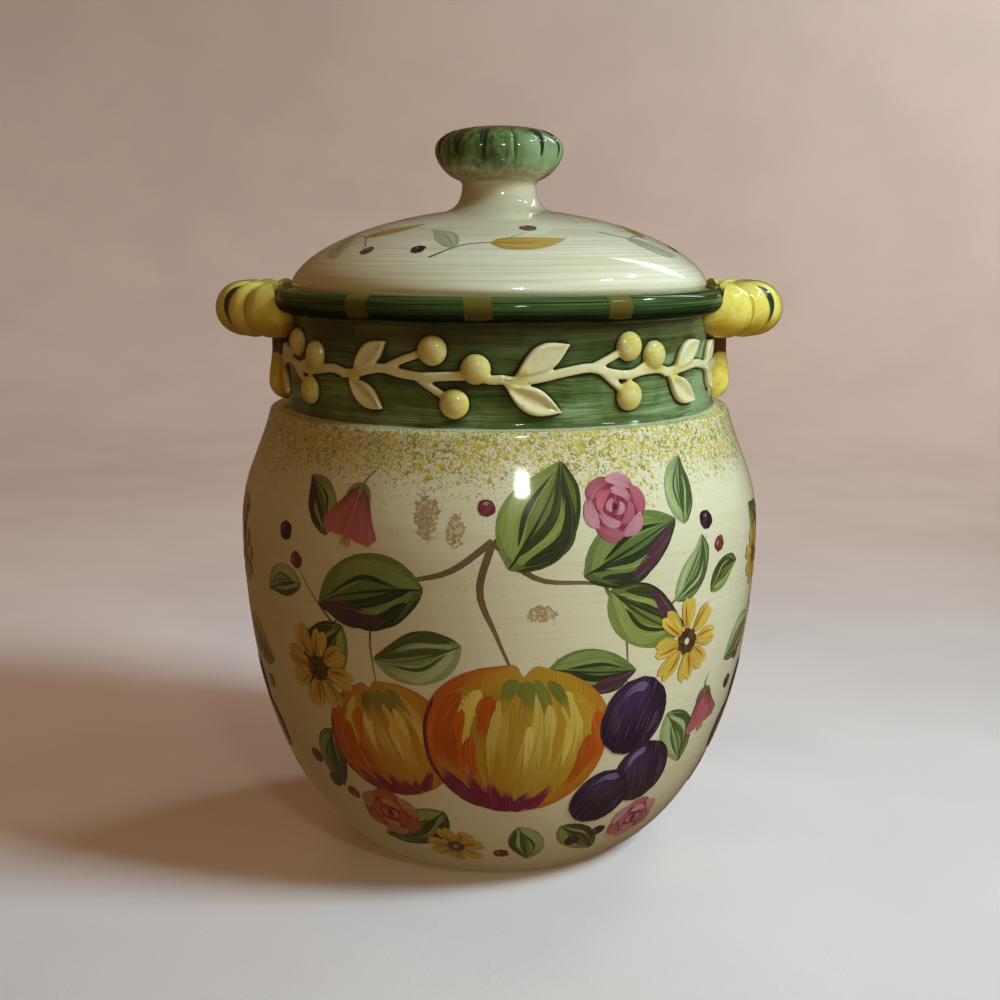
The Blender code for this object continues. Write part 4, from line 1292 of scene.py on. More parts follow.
APPLE = ((0.48, 0.265, 0.018), (0.70, 0.50, 0.080), (0.50, 0.095, 0.005), (0.19, 0.014, 0.044),
         (0.19, 0.19, 0.025))
APRICOT = ((0.52, 0.240, 0.016), (0.72, 0.47, 0.08), (0.52, 0.100, 0.006), (0.22, 0.018, 0.042),
           (0.22, 0.19, 0.03))
PLUM = ((0.022, 0.008, 0.024), (0.050, 0.024, 0.060), (0.16, 0.11, 0.19))
NIGHT_BERRY = ((0.020, 0.007, 0.015), (0.11, 0.05, 0.085))
ROSE_BERRY = ((0.150, 0.020, 0.030), (0.46, 0.16, 0.14))
PINK_ROSE = (((0.25, 0.030, 0.055), (0.50, 0.130, 0.155)), (0.66, 0.30, 0.30))
CORAL_ROSE = (((0.24, 0.026, 0.014), (0.46, 0.105, 0.035)), (0.60, 0.24, 0.12))

PANELS = {
    "orchard": {
        "twigs": [([(-2, 130), (-16, 120), (-36, 114), (-58, 99)], 2.4),
                  ([(-2, 130), (12, 118), (34, 115), (60, 105)], 2.2),
                  ([(-2, 130), (-6, 114), (-1, 100), (4, 88)], 2.8),
                  ([(-36, 114), (-43, 98), (-42, 80)], 1.3),
                  ([(34, 115), (42, 98), (44, 80)], 1.3),
                  ([(-58, 99), (-67, 108), (-74, 117)], 0.9),
                  ([(60, 105), (70, 113), (77, 126)], 0.9)],
        "leaves": [(3, 121, -26, 38, 25, "olive", 0.0), (27, 118, -66, 38, 22, "deep", 0.8),
                   (-24, 114, 103, 41, 25, "deep", 0.8), (36, 113, -118, 35, 20, "olive", 0.3),
                   (-54, 99, 152, 31, 18, "olive", 0.3), (62, 106, -30, 24, 12, "sage", 0.0),
                   (-12, 96, 103, 31, 18, "sage", 0.0), (16, 88, -96, 31, 16, "deep", 0.5),
                   (-22, 34, 125, 31, 17, "olive", 0.0), (8, 28, -168, 21, 12, "sage", 0.0),
                   (64, 66, -150, 27, 15, "sage", 0.0), (-66, 60, 175, 25, 13, "deep", 0.3),
                   (26, 27, -140, 23, 12, "olive", 0.0),
                   (-60, 128, 30, 22, 12, "olive", 0.2), (-72, 110, 104, 21, 11, "sage", 0.0),
                   (66, 131, -10, 23, 12, "sage", 0.0), (80, 106, -66, 19, 10, "olive", 0.0)],
        "fruit": [(-40, 60, 14, 23.0, 22.0, 0.10, 0.03, APRICOT),
                  (6, 62, -5, 30.5, 28.5, 0.14, 0.13, APPLE)],
        "plums": [(49, 68, -16, 12.5, 14.5), (58, 45, 10, 11.5, 13.0), (41, 38, -30, 10.5, 12.0)],
        "cosmos": [(-67, 82, 15.5, 8), (69, 91, 15.0, 8), (-20, 18, 10.5, 7)],
        "roses": [(-47, 30, 10.5, CORAL_ROSE), (39, 139, 10.5, PINK_ROSE), (64, 24, 9.5, PINK_ROSE)],
        "bells": [(-48, 144, -12, 17), (84, 70, 14, 15)],
        "berries": [(-80, 127, 3.3, NIGHT_BERRY), (-74, 118, 2.9, ROSE_BERRY),
                    (77, 131, 3.3, NIGHT_BERRY), (84, 122, 2.8, ROSE_BERRY),
                    (-4, 140, 2.8, ROSE_BERRY), (-80, 46, 3.0, NIGHT_BERRY),
                    (-73, 38, 3.0, NIGHT_BERRY), (-64, 35, 2.6, ROSE_BERRY),
                    (34, 19, 2.8, NIGHT_BERRY), (1, 15, 2.6, ROSE_BERRY), (46, 22, 2.7, NIGHT_BERRY)],
    },
    "meadow": {
        "twigs": [([(0, 132), (-10, 118), (-12, 100), (-8, 82)], 1.8),
                  ([(-12, 100), (-26, 94), (-38, 84)], 1.2), ([(-11, 112), (8, 108), (24, 98)], 1.2),
                  ([(-8, 82), (2, 64), (0, 44)], 1.4)],
        "leaves": [(-12, 116, 58, 28, 16, "olive", 0.0), (-2, 112, -50, 29, 17, "deep", 0.6),
                   (-30, 90, 118, 25, 14, "sage", 0.0), (20, 98, -96, 25, 14, "olive", 0.0),
                   (0, 62, 118, 28, 16, "deep", 0.4), (2, 56, -112, 28, 16, "olive", 0.0),
                   (2, 38, 165, 20, 11, "sage", 0.0)],
        "fruit": [],
        "plums": [(-22, 62, 20, 9.5, 11.5), (-32, 48, 0, 8.5, 10.0), (22, 66, -20, 9.5, 11.5)],
        "cosmos": [(0, 88, 14.0, 8), (-30, 112, 11.0, 8)],
        "roses": [(28, 118, 9.5, PINK_ROSE), (24, 40, 9.5, CORAL_ROSE), (-20, 28, 8.5, PINK_ROSE)],
        "bells": [(38, 92, 14, 13)],
        "berries": [(10, 136, 2.8, NIGHT_BERRY), (17, 130, 2.5, ROSE_BERRY),
                    (-40, 78, 2.8, ROSE_BERRY), (-44, 68, 2.8, NIGHT_BERRY),
                    (6, 24, 2.5, NIGHT_BERRY), (38, 56, 2.7, NIGHT_BERRY)],
    },
}
PANEL_PLACES = (("front", "orchard", 0, False), ("right", "meadow", 90, False),
                ("back", "orchard", 180, True), ("left", "meadow", 270, True))


class Panel:
    """Finds the spots of one painted panel on the jar."""

    def __init__(self, surface, layout, angle, mirrored):
        self.surface = surface
        self.layout = PANELS[layout]
        self.angle = math.radians(angle)
        self.mirrored = mirrored

    def spot(self, across, up, turn=0.0):
        distance = self.surface.distance_at_height(up * MM)
        way = -1 if self.mirrored else 1
        belly = self.surface.radius(self.surface.distance_at_height(0.11))
        angle = self.angle + way * across * MM / belly
        return Spot(self.surface, angle, distance, turn, self.mirrored)

    def path(self, points):
        """A spot at the first point, and the whole path in metres from it."""
        (x0, z0), start = points[0], self.surface.distance_at_height(points[0][1] * MM)
        run = [((x - x0) * MM, start - self.surface.distance_at_height(z * MM)) for x, z in points]
        return self.spot(x0, z0), run


def paint_panel(panel, kind, seed):
    """Paints one kind of motif in a panel."""
    painting = Painting(seed)
    layout = panel.layout
    if kind == "leaves":
        for points, width in layout["twigs"]:
            spot, path = panel.path(points)
            paint_twig(painting, spot, path, width * MM, TWIG)
        for x, z, turn, size, width, green, plum in layout["leaves"]:
            paint_leaf(painting, panel.spot(x, z, turn), size * MM, width * MM, green, 1, plum)
    elif kind == "fruit":
        for i, (x, z, turn, wide, high, dimple, taper, colours) in enumerate(layout["fruit"]):
            fruit = Fruit(wide * MM, high * MM, dimple, taper)
            paint_fruit(painting, panel.spot(x, z, turn), fruit, colours, 6 + 4 * i)
        for x, z, turn, wide, high in layout["plums"]:
            paint_plum(painting, panel.spot(x, z, turn), wide * MM, high * MM, PLUM, 14)
    elif kind == "flowers":
        for x, z, radius, petals in layout["cosmos"]:
            paint_cosmos(painting, panel.spot(x, z, 17 * x), radius * MM, petals, 10)
        for x, z, radius, colours in layout["roses"]:
            paint_rose(painting, panel.spot(x, z, 23 * x), radius * MM, colours, 10)
        for x, z, turn, size in layout["bells"]:
            paint_bell(painting, panel.spot(x, z, turn), size * MM, 10)
    elif kind == "berries":
        for x, z, radius, colours in layout["berries"]:
            paint_berry(painting, panel.spot(x, z, 9 * x), radius * MM, colours, 6)
    return painting


# The lid's sprigs, in degrees round the lid and millimetres out from its axis. The pair stands
# three times round the lid.

LID_SPRIGS = [
    {"angle": 4, "twig": [(0, 66), (9, 59), (19, 57), (30, 50)],
     "leaves": [(17, 57.5, -84, 26, 9.5, "ochre"), (6, 61, 38, 19, 7.5, "sage")],
     "berries": [(32, 46, 2.9, ROSE_BERRY), (-5, 62, 2.5, NIGHT_BERRY)]},
    {"angle": 66, "twig": [(0, 50), (10, 55), (20, 54), (31, 61)],
     "leaves": [(9, 55, -128, 22, 8.5, "sage"), (21, 54, -48, 20, 7.0, "ochre")],
     "berries": [(34, 63, 2.6, ROSE_BERRY)]},
]
LID_LEAVES = {"ochre": ((0.46, 0.27, 0.03), (0.30, 0.15, 0.02), (0.62, 0.42, 0.10)),
              "sage": ((0.40, 0.41, 0.19), (0.28, 0.30, 0.12), (0.52, 0.52, 0.30))}


def paint_lid(surface):
    """Loose sprigs round the dome, each with a thin twig, a leaf or two and a berry."""
    painting = Painting(31)

    def spot(angle, out, turn=0.0):
        return Spot(surface, math.radians(angle), surface.distance_at_radius(out * MM), turn)

    for repeat in range(3):
        for sprig in LID_SPRIGS:
            base = sprig["angle"] + 120 * repeat - 24
            a0, out0 = sprig["twig"][0]
            start = surface.distance_at_radius(out0 * MM)
            run = [(math.radians(a - a0) * out * MM, start - surface.distance_at_radius(out * MM))
                   for a, out in sprig["twig"]]
            paint_twig(painting, spot(base + a0, out0), run, 0.9 * MM, LID_TWIG)
            for a, out, turn, size, width, kind in sprig["leaves"]:
                body, shade, light = LID_LEAVES[kind]
                leaf = Leaf(size * MM, width * MM, 0.12)
                at = spot(base + a, out, turn)
                painting.stroke(at, [leaf.at(0, t) for t in (0, 0.3, 0.6, 1)], width * MM, body, 2,
                                tail=light, shape=leaf_shaped, across=6, along=14)
                painting.stroke(at, [leaf.at(0, t) for t in (0.02, 0.4, 0.95)], 0.5 * MM, shade, 3,
                                body, across=2, along=10)
                painting.stroke(at, [leaf.at(0.5, t) for t in (0.1, 0.5, 0.9)], 0.9 * MM, light, 3,
                                body, load=(0.8, 0.2), across=3, along=10)
            for a, out, radius, colours in sprig["berries"]:
                paint_berry(painting, spot(base + a, out), radius * MM, colours, 3)
    return painting


# The vine's sprigs. Each leaf node is at an angle from the middle of its side, in degrees. Lines
# are drawn flat from the node: along the neck in hundredths of the neck's radius, then up from
# the vine's height in hundredths of the neck's height.

SPRIGS = [
    {"node": -79.0, "until": -40.65,
     "stem": [(0, 0.9), (10.3, 3.7), (19.4, 4.6), (29.7, 1.4), (40.1, -0.5), (50.4, 1.4), (59.4, 3.2)],
     "stalks": [[(10.3, 3.2), (19.4, 10.5), (27.1, 17.4)], [(24.5, 2.7), (32.3, -5.9), (40.1, -12.8)],
                [(31, 1.4), (38.8, 5.9), (45.2, 10.5)]],
     "berries": [(30, 19.7), (41.7, -16), (47, 11.9)],
     "leaves": [[(-1.3, 1.8), (5.2, 7.8), (11.6, 12.4), (18.1, 14.6)],
                [(-3.9, -0.9), (0, -11.4), (6.5, -20.1), (12.9, -24.3)]]},
    {"node": -36.9, "until": 0.45,
     "stem": [(0, 1.4), (7.8, 4.6), (14.2, 5.9), (23.3, 2.7), (33.6, 0.9), (43.9, 1.8), (54.3, 2.3),
              (60.7, -0.5)],
     "stalks": [[(14.2, 5.5), (23.3, 12.8), (33.6, 18.8)], [(28.4, 2.3), (36.2, -6.9), (42.6, -13.7)]],
     "berries": [(36.7, 20.1), (45.9, -18.3), (54.8, 7.1)],
     "leaves": [[(-1.3, 2.3), (3.9, 14.2), (10.3, 22), (15.8, 26.1)],
                [(-3.9, -0.9), (0, -11.9), (6.5, -20.6), (14, -24.3)]]},
    {"node": 4.2, "until": 45.15,
     "stem": [(0, -1.4), (10.3, 0.9), (20.7, 4.6), (31, 6.9), (40.1, 2.7), (49.1, 0.5), (56.8, 2.7),
              (65.9, 3.2)],
     "stalks": [[(31, 6.4), (40.1, 13.3), (47.8, 19.7)], [(36.2, 4.1), (42.6, -5), (47.8, -12.4)],
                [(51.7, 0.9), (58.1, 6.4), (62, 11.4)]],
     "berries": [(49.6, 21.5), (50.1, -15.1), (63.6, 13.7)],
     "leaves": [[(-1.3, 1.4), (6.5, 13.3), (14.2, 20.6), (21.7, 24.7)],
                [(-5.2, -4.6), (0, -12.8), (9, -21.1), (18.5, -24.7)]]},
    {"node": 48.9, "until": 84.7,
     "stem": [(0, 0.9), (9, 2.7), (18.1, 3.7), (27.1, 1.4), (37.5, -1.4), (47.8, -0.5), (56.8, 0.9)],
     "stalks": [],
     "berries": [],
     "leaves": [[(-1.3, 1.8), (5.2, 11.9), (12.9, 18.3), (19.9, 21.5)],
                [(-5.2, -2.7), (0, -12.4), (7.8, -20.6), (16.5, -24.7)],
                [(29, 1.2), (34, 9.0), (39, 15.5), (44, 20.0)],
                [(30, 0.6), (34, -7.6), (38.5, -15.2), (43, -20.4)]]},
]
SPRIG_START = -84.7
SPRIG_LAP = 0.0012  # how far each end of a sprig runs into the next
VINE_SHARE = 0.396  # the vine's height up the neck, as a share of the neck's height
RELIEF_FOOT = -0.0008  # how far the relief's flat back lies inside the neck
RELIEF_GRAIN = 0.00040  # size of the cells in which a sprig's pieces are fused
STEM, STALK = (0.00148, 0.0014), (0.00122, 0.0012)  # half width and height of each bar
LEAF_HEIGHT = 0.0020
LEAF_EYES = (0.26, 0.68)  # how far upper and lower leaves sink inside their rims
BERRY_RADIUS = 0.0049


def add_loft(bm, rings):
    """Joins closed rings of points into a closed body."""
    loops = [[bm.verts.new(p) for p in ring] for ring in rings]
    count = len(loops[0])
    for a, b in zip(loops, loops[1:]):
        for k in range(count):
            bm.faces.new((a[k], a[(k + 1) % count], b[(k + 1) % count], b[k]))
    bm.faces.new(loops[0])
    bm.faces.new(list(reversed(loops[-1])))


def side_at(path, index):
    """The way across a flat path at one of its points."""
    a, b = path[max(index - 1, 0)], path[min(index + 1, len(path) - 1)]
    along = (b - a).normalized()
    return Vector((-along.z, 0.0, along.x))


def add_bar(bm, path, half_width, height):
    """A stem: a flat-topped bar. Points are along, out and up."""
    rings = []
    section = [(-1.0, RELIEF_FOOT), (-1.0, 0.66 * height), (-0.78, 0.95 * height), (-0.45, height),
               (0.45, height), (0.78, 0.95 * height), (1.0, 0.66 * height), (1.0, RELIEF_FOOT)]
    for i, point in enumerate(path):
        side = side_at(path, i)
        rings.append([point + side * half_width * s + Vector((0, out, 0)) for s, out in section])
    add_loft(bm, rings)


def straightened(path, share):
    """A path moved that share of the way to the straight line between its ends."""
    last = len(path) - 1
    return [point.lerp(path[0].lerp(path[-1], i / last), share) for i, point in enumerate(path)]


def add_leaf(bm, path, height, eye):
    """A pointed leaf with a raised rim and a midrib. eye is how far it sinks between them."""
    last = len(path) - 1
    length = sum((b - a).length for a, b in zip(path, path[1:]))
    rings = []
    for i, point in enumerate(path):
        t = (i + 0.10) / (last + 0.20)
        half = 0.210 * length * math.sin(math.pi * t**1.08) ** 1.10
        side = side_at(path, i)
        ring = [point + side * half * s + Vector((0, RELIEF_FOOT, 0)) for s in (1.0, 0.0, -1.0)]
        for s in (-1.0, -0.9, -0.8, -0.6, -0.4, -0.2, -0.1, 0.0, 0.1, 0.2, 0.4, 0.6, 0.8, 0.9, 1.0):
            crest = min(1.0, 0.62 + 1.9 * (1 - abs(s)))
            sunk = eye * math.cos(math.pi * s / 1.6) ** 2 if abs(s) < 0.8 else 0.0
            rib = 0.16 * math.exp(-(s / 0.13) ** 2)
            out = height * (crest - sunk * min(1.0, 3 * t, 4 * (1 - t)) + rib * (1 - t))
            ring.append(point + side * half * s + Vector((0, out * min(1.0, 0.5 + 4 * t), 0)))
        rings.append(ring)
    add_loft(bm, rings)


def sprig_mesh(name, sprig, start, neck_radius, neck_height):
    """One sprig, moulded flat and fused, with its washes marked. Points are along, out and up
    from its leaf node."""
    def drawn(points, per_point):
        run = [(x * neck_radius / 100, 0.0, y * neck_height / 100) for x, y in points]
        return smooth_path(run, per_point * (len(run) - 1))

    node = math.radians(sprig["node"])
    left = (math.radians(start) - node) * neck_radius - SPRIG_LAP
    right = (math.radians(sprig["until"]) - node) * neck_radius + SPRIG_LAP
    ends = [(100 * left / neck_radius, 0.0), (100 * right / neck_radius, 0.0)]
    inner = [p for p in sprig["stem"] if ends[0][0] + 2 < p[0] < ends[1][0] - 2]
    bm = bmesh.new()
    add_bar(bm, drawn([ends[0], *inner, ends[1]], 5), *STEM)
    for stalk in sprig["stalks"]:
        add_bar(bm, drawn(stalk, 5), *STALK)
    for i, line in enumerate(sprig["leaves"]):
        add_leaf(bm, straightened(drawn(line, 6), 0.7), LEAF_HEIGHT, LEAF_EYES[i % 2])
    middles = []
    for x, y in sprig["berries"]:
        middle = Vector((x * neck_radius / 100, 0.0004, y * neck_height / 100))
        middles.append(middle)
        shape = Matrix.Translation(middle) @ Matrix.Diagonal((1.0, 0.64, 1.0, 1.0))
        bmesh.ops.create_uvsphere(bm, u_segments=20, v_segments=12, radius=BERRY_RADIUS,
                                  matrix=shape)
    bmesh.ops.recalc_face_normals(bm, faces=bm.faces)
    obj = object_from(name, bm)
    fused = obj.modifiers.new("Fused", "REMESH")
    fused.mode = "VOXEL"
    fused.voxel_size = RELIEF_GRAIN
    softened = obj.modifiers.new("Softened", "SMOOTH")
    softened.factor = 0.5
    softened.iterations = 2
    thinned = obj.modifiers.new("Thinned", "DECIMATE")
    thinned.ratio = 0.24
    apply_modifiers(obj)

    def wash(co):
        berry = max((share_between(0.0078 - (co - m).length, 0.0, 0.0022) for m in middles), default=0.0)
        node_wash = share_between(0.0055 - co.xz.length, 0.0, 0.004)
        return min(1.0, 0.16 + 0.80 * berry + 0.80 * node_wash)

    paint_points(obj.data, "wash", wash)
    paint_points(obj.data, "foot", lambda co: share_between(0.0006 - co.y, 0.0, 0.0005))
    return obj


def wrap(obj, sprig, turn, neck_radius):
    """Bends a flat sprig round the neck."""
    node = math.radians(sprig["node"]) + turn
    for vertex in obj.data.vertices:
        angle = node + vertex.co.x / neck_radius
        radius = neck_radius + vertex.co.y
        vertex.co.x, vertex.co.y = radius * math.sin(angle), -radius * math.cos(angle)
    obj.data.polygons.foreach_set("use_smooth", [True] * len(obj.data.polygons))
    obj.data.update()


# Pieces

JAR_LUMPS, LID_LUMPS = 0.00016, 0.00012
SHARP_ANGLE, CUT_ANGLE = math.radians(50), math.radians(55)
ROOM_TINT, ROOM_GLOW = (1.0, 0.60, 0.25, 1.0), 0.115
BULB_PLACE = (0.137, -0.747, 0.583)


def sizes_of(context):
    return context.scene.canister_jar, context.scene.canister_lid, context.scene.canister_glazes


def jar_surface(sizes):
    return TurnedSurface(jar_outer_line(sizes, sizes.skin), uneven(JAR_LUMPS))


def make_jar(sizes, glazes):
    inside, outer, under = jar_whole_line(sizes)
    surface = TurnedSurface(inside + outer + under, uneven(JAR_LUMPS))
    bands = [3 if z > sizes.shoulder_height - 0.0002 else 0 for _, z in outer]
    slots = [1] * (len(inside) - 1) + bands + [2] * len(under)
    jar = turned_mesh("jar", surface, surface.distances, sizes.steps, slots)
    jar.data.set_sharp_from_angle(angle=SHARP_ANGLE)
    materials = [jar_glaze(glazes, sizes), plain_cream_glaze(glazes), clay_finish(glazes),
                 neck_glaze(glazes, sizes)]
    dress(jar, "jar", "jar_cream_glaze", materials, "jar_body")


def make_rim_dashes(sizes, glazes):
    """Short amber dashes over the rim's green, at angles from the front."""
    surface = jar_surface(sizes)
    painting = Painting(5)
    bead_middle = surface.distance_at_height(sizes.bead_height)
    # The front ones stand where the photo shows them. The others run on past the right handle.
    front = (-33.7, -4.6, 28.0)
    back = [147.5 + turn + painting.random.uniform(-1.5, 1.5) for turn in (-61, -30, 0, 31, 60)]
    for angle in (*front, *back):
        spot = Spot(surface, math.radians(angle), bead_middle, painting.random.uniform(-7, 7))
        width = 0.0094 * painting.random.uniform(0.92, 1.08)
        painting.stroke(spot, [(0, 0.0058), (0, 0.001), (0, -0.0046)], width, glazes.amber, 1,
                        glazes.rim_light, tail=glazes.amber_low, shape=even, load=(0.95, 0.95),
                        across=8, along=14, sway=0.012)
    painting.build("rim_dashes", brush_paint("dash_paint", 0.35, 0.3), "jar", "jar_cream_glaze")


def make_vine(sizes, glazes):
    neck_radius = sizes.neck_radius - sizes.skin
    vine_height = sizes.rim_height - sizes.neck_height * (1 - VINE_SHARE)
    material = vine_glaze(glazes)
    for turn, side in ((0.0, "front"), (math.pi, "back")):
        start = SPRIG_START
        for i, sprig in enumerate(SPRIGS):
            obj = sprig_mesh(f"vine_relief_{side}_{i + 1}", sprig, start, neck_radius,
                             sizes.neck_height)
            wrap(obj, sprig, turn, neck_radius)
            for vertex in obj.data.vertices:
                vertex.co.z += vine_height
            start = sprig["until"]
            dress(obj, "jar", "vine_cream_glaze", [material], f"vine_sprig_{side}_{i + 1}")


def lug_blank(surface, name):
    """The whole ring of a handle with the web across it, before the jar is cut out of it."""
    bm = bmesh.new()
    steps, around = 150, 40
    web = 0.0035
    meeting = math.asin(web / surface.half_height)
    turns = [math.pi / 2 - (math.pi - meeting) + 2 * (math.pi - meeting) * k / around
             for k in range(around + 1)]
    top = bm.verts.new((surface.side * surface.centre, 0.0, surface.height + web))
    low = bm.verts.new((surface.side * surface.centre, 0.0, surface.height - web))
    rings = []
    for i in range(steps):
        angle = 2 * math.pi * i / steps
        angle = (angle + math.pi) % (2 * math.pi) - math.pi
        rings.append([bm.verts.new(surface.place(angle, turn * surface.half_width)) for turn in turns])
    for i in range(steps):
        a, b = rings[i], rings[(i + 1) % steps]
        for k in range(around):
            bm.faces.new((a[k], a[k + 1], b[k + 1], b[k]))
        bm.faces.new((top, a[0], b[0]))
        bm.faces.new((low, b[-1], a[-1]))
    bmesh.ops.recalc_face_normals(bm, faces=bm.faces)
    return object_from(name, bm)


def cut_by_jar(obj, sizes):
    """Cuts away the part of a piece that is inside the jar or above its mouth."""
    line = jar_outer_line(sizes, sizes.skin + 0.0001)
    widest = max(line[:24])
    side = [p for p in line if p[1] < widest[1]]
    top = sizes.rim_height + 0.03
    profile = [(0.0, top), (widest[0], top), widest, *side, (side[-1][0], -0.01), (0.0, -0.01)]
    surface = TurnedSurface(profile)
    cutter = turned_mesh("cutter", surface, surface.distances, sizes.steps)
    cut = obj.modifiers.new("Cut", "BOOLEAN")
    cut.operation, cut.object, cut.solver = "DIFFERENCE", cutter, "EXACT"
    apply_modifiers(obj)
    bpy.data.objects.remove(cutter, do_unlink=True)
    obj.data.shade_smooth()
    obj.data.set_sharp_from_angle(angle=CUT_ANGLE)
    return obj


def make_handles(sizes, glazes):
    for side, name in ((-1, "handle_left"), (1, "handle_right")):
        surface = LugSurface(side)
        lug = cut_by_jar(lug_blank(surface, name + "_lug"), sizes)
        material = lug_glaze(glazes, name + "_glaze", surface.height, surface.half_height)
        dress(lug, "jar", "handle_yellow_glaze", [material], name)
        make_lug_strokes(surface, name, glazes)
        make_drop(side, name, glazes, sizes)


def make_lug_strokes(surface, name, glazes):
    """A bottle-green stroke down each outer crease, and faint ochre ones down the inner."""
    painting = Painting(11)
    quarter = 0.5 * math.pi * surface.half_width
    for crease in surface.creases:
        outer = abs(crease) < math.radians(45)
        spot = Spot(surface, crease, quarter)
        if outer:
            painting.stroke(spot, [(0, 0.0135), (0, 0.006), (0.0002, -0.0065)], 0.0031,
                            glazes.bottle, 4, glazes.ochre, load=(1.0, 0.95), shape=spindle,
                            across=8, along=20)
        else:
            painting.stroke(spot, [(0, 0.011), (0, 0.0), (0, -0.012)], 0.0014, glazes.ochre, 1,
                            glazes.lemon, load=(0.5, 0.8), across=4, along=16)
    painting.build(name + "_strokes", brush_paint(), "jar", "handle_yellow_glaze")


def make_drop(side, name, glazes, sizes):
    """The drop that hangs from a handle's web to the shoulder, flat where it meets the neck."""
    low, high = DROP_BOX
    foot_radius = (high.y - low.y) / 2 - 0.0001
    foot, top_radius = low.z + foot_radius - 0.0001, 0.0053
    centre = high.x - foot_radius - 0.0001
    inner = sizes.neck_radius - 0.0022
    line = [(0.0, high.z)]
    for i in range(13):
        share = i / 12
        radius = top_radius + (foot_radius - top_radius) * share_between(share, 0.45, 1.0)
        line.append((radius, high.z + (foot - high.z) * share))
    for i in range(1, 11):
        angle = math.radians(9 * i)
        line.append((foot_radius * math.cos(angle), foot - foot_radius * math.sin(angle)))
    line[-1] = (0.0, line[-1][1])
    surface = TurnedSurface(line)
    drop = turned_mesh(name + "_drop_glazed", surface, surface.distances, 36)
    for vertex in drop.data.vertices:
        vertex.co.x = side * max(vertex.co.x + centre, inner)
    if side < 0:
        drop.data.flip_normals()
    dress(drop, "jar", "handle_yellow_glaze", [drop_glaze(glazes)], name + "_drop")


def make_lid(jar_sizes, sizes, glazes):
    outer, under = lid_whole_line(sizes, jar_sizes.mouth_radius)
    surface = TurnedSurface(outer + under, uneven(LID_LUMPS))
    slots = [0] * len(outer) + [1] * len(under)
    lid = turned_mesh("lid", surface, surface.distances, sizes.steps, slots)
    lid.data.set_sharp_from_angle(angle=SHARP_ANGLE)
    dress(lid, "lid", "lid_cream_glaze", [lid_glaze(glazes), plain_cream_glaze(glazes)],
          "lid_dome")


def make_knob(sizes, glazes):
    surface = TurnedSurface(knob_line(sizes), knob_press(sizes))
    knob = turned_mesh("knob", surface, surface.distances, 208)
    knob.data.set_sharp_from_angle(angle=SHARP_ANGLE)
    dress(knob, "lid", "knob_green_glaze", [knob_glaze(glazes, sizes)], "lid_knob")
    painting = Painting(3)
    edge = surface.distance_at_height(sizes.cap_height)
    for i in range(1, sizes.flutes):
        spot = Spot(surface, knob_flute_angle(sizes, i), edge, painting.random.uniform(-4, 4))
        reach = painting.random.uniform(0.0010, 0.0030)
        painting.stroke(spot, [(0, 0.0110), (0, 0.006), (0, -reach)],
                        0.0052 * painting.random.uniform(0.7, 1.25), glazes.bottle, 4, glazes.moss,
                        load=(1.0, 0.85), across=8, along=18, shape=flute_shaped)
    painting.build("knob_strokes", brush_paint(), "lid", "knob_green_glaze")


def add_panel_light(name, place, target, size, power, tint, lights="all", spread=180):
    """A soft panel of light. One that lights "surfaces" isn't mirrored in the glaze, and one
    that lights the "glaze" is seen only there."""
    data = bpy.data.lights.new(name, "AREA")
    data.spread = math.radians(spread)
    data.shape = "RECTANGLE"
    data.size, data.size_y = size
    data.energy = power
    data.color = tint
    light = new_object(name, data)
    light.location = place
    light.visible_glossy = lights != "surfaces"
    light.visible_diffuse = lights != "glaze"
    light.rotation_mode = "QUATERNION"
    light.rotation_quaternion = (Vector(target) - light.location).to_track_quat("-Z", "Y")


def floor_finish(floor):
    """Pale cloth-covered board: a faint weave and slow clouds."""
    r = Recipe("floor_cloth")
    weave = r.noise(r.place, 900.0, 3.0, 0.6)
    clouds = r.noise(r.place, 9.0, 3.0)
    tone = r.mix(r.ramp(clouds, 0.3, 0.7), floor, scaled(floor, 0.93))
    tone = r.mix(r.ramp(weave, 0.4, 0.75, 0.0, 0.25), tone, scaled(floor, 0.82))
    r.feed(r.shader.inputs["Base Color"], tone)
    r.feed(r.shader.inputs["Roughness"], r.ramp(weave, 0.3, 0.7, 0.75, 0.9))
    r.feed(r.shader.inputs["Normal"], r.bump(weave, 0.0002, 0.35))
    return r.material


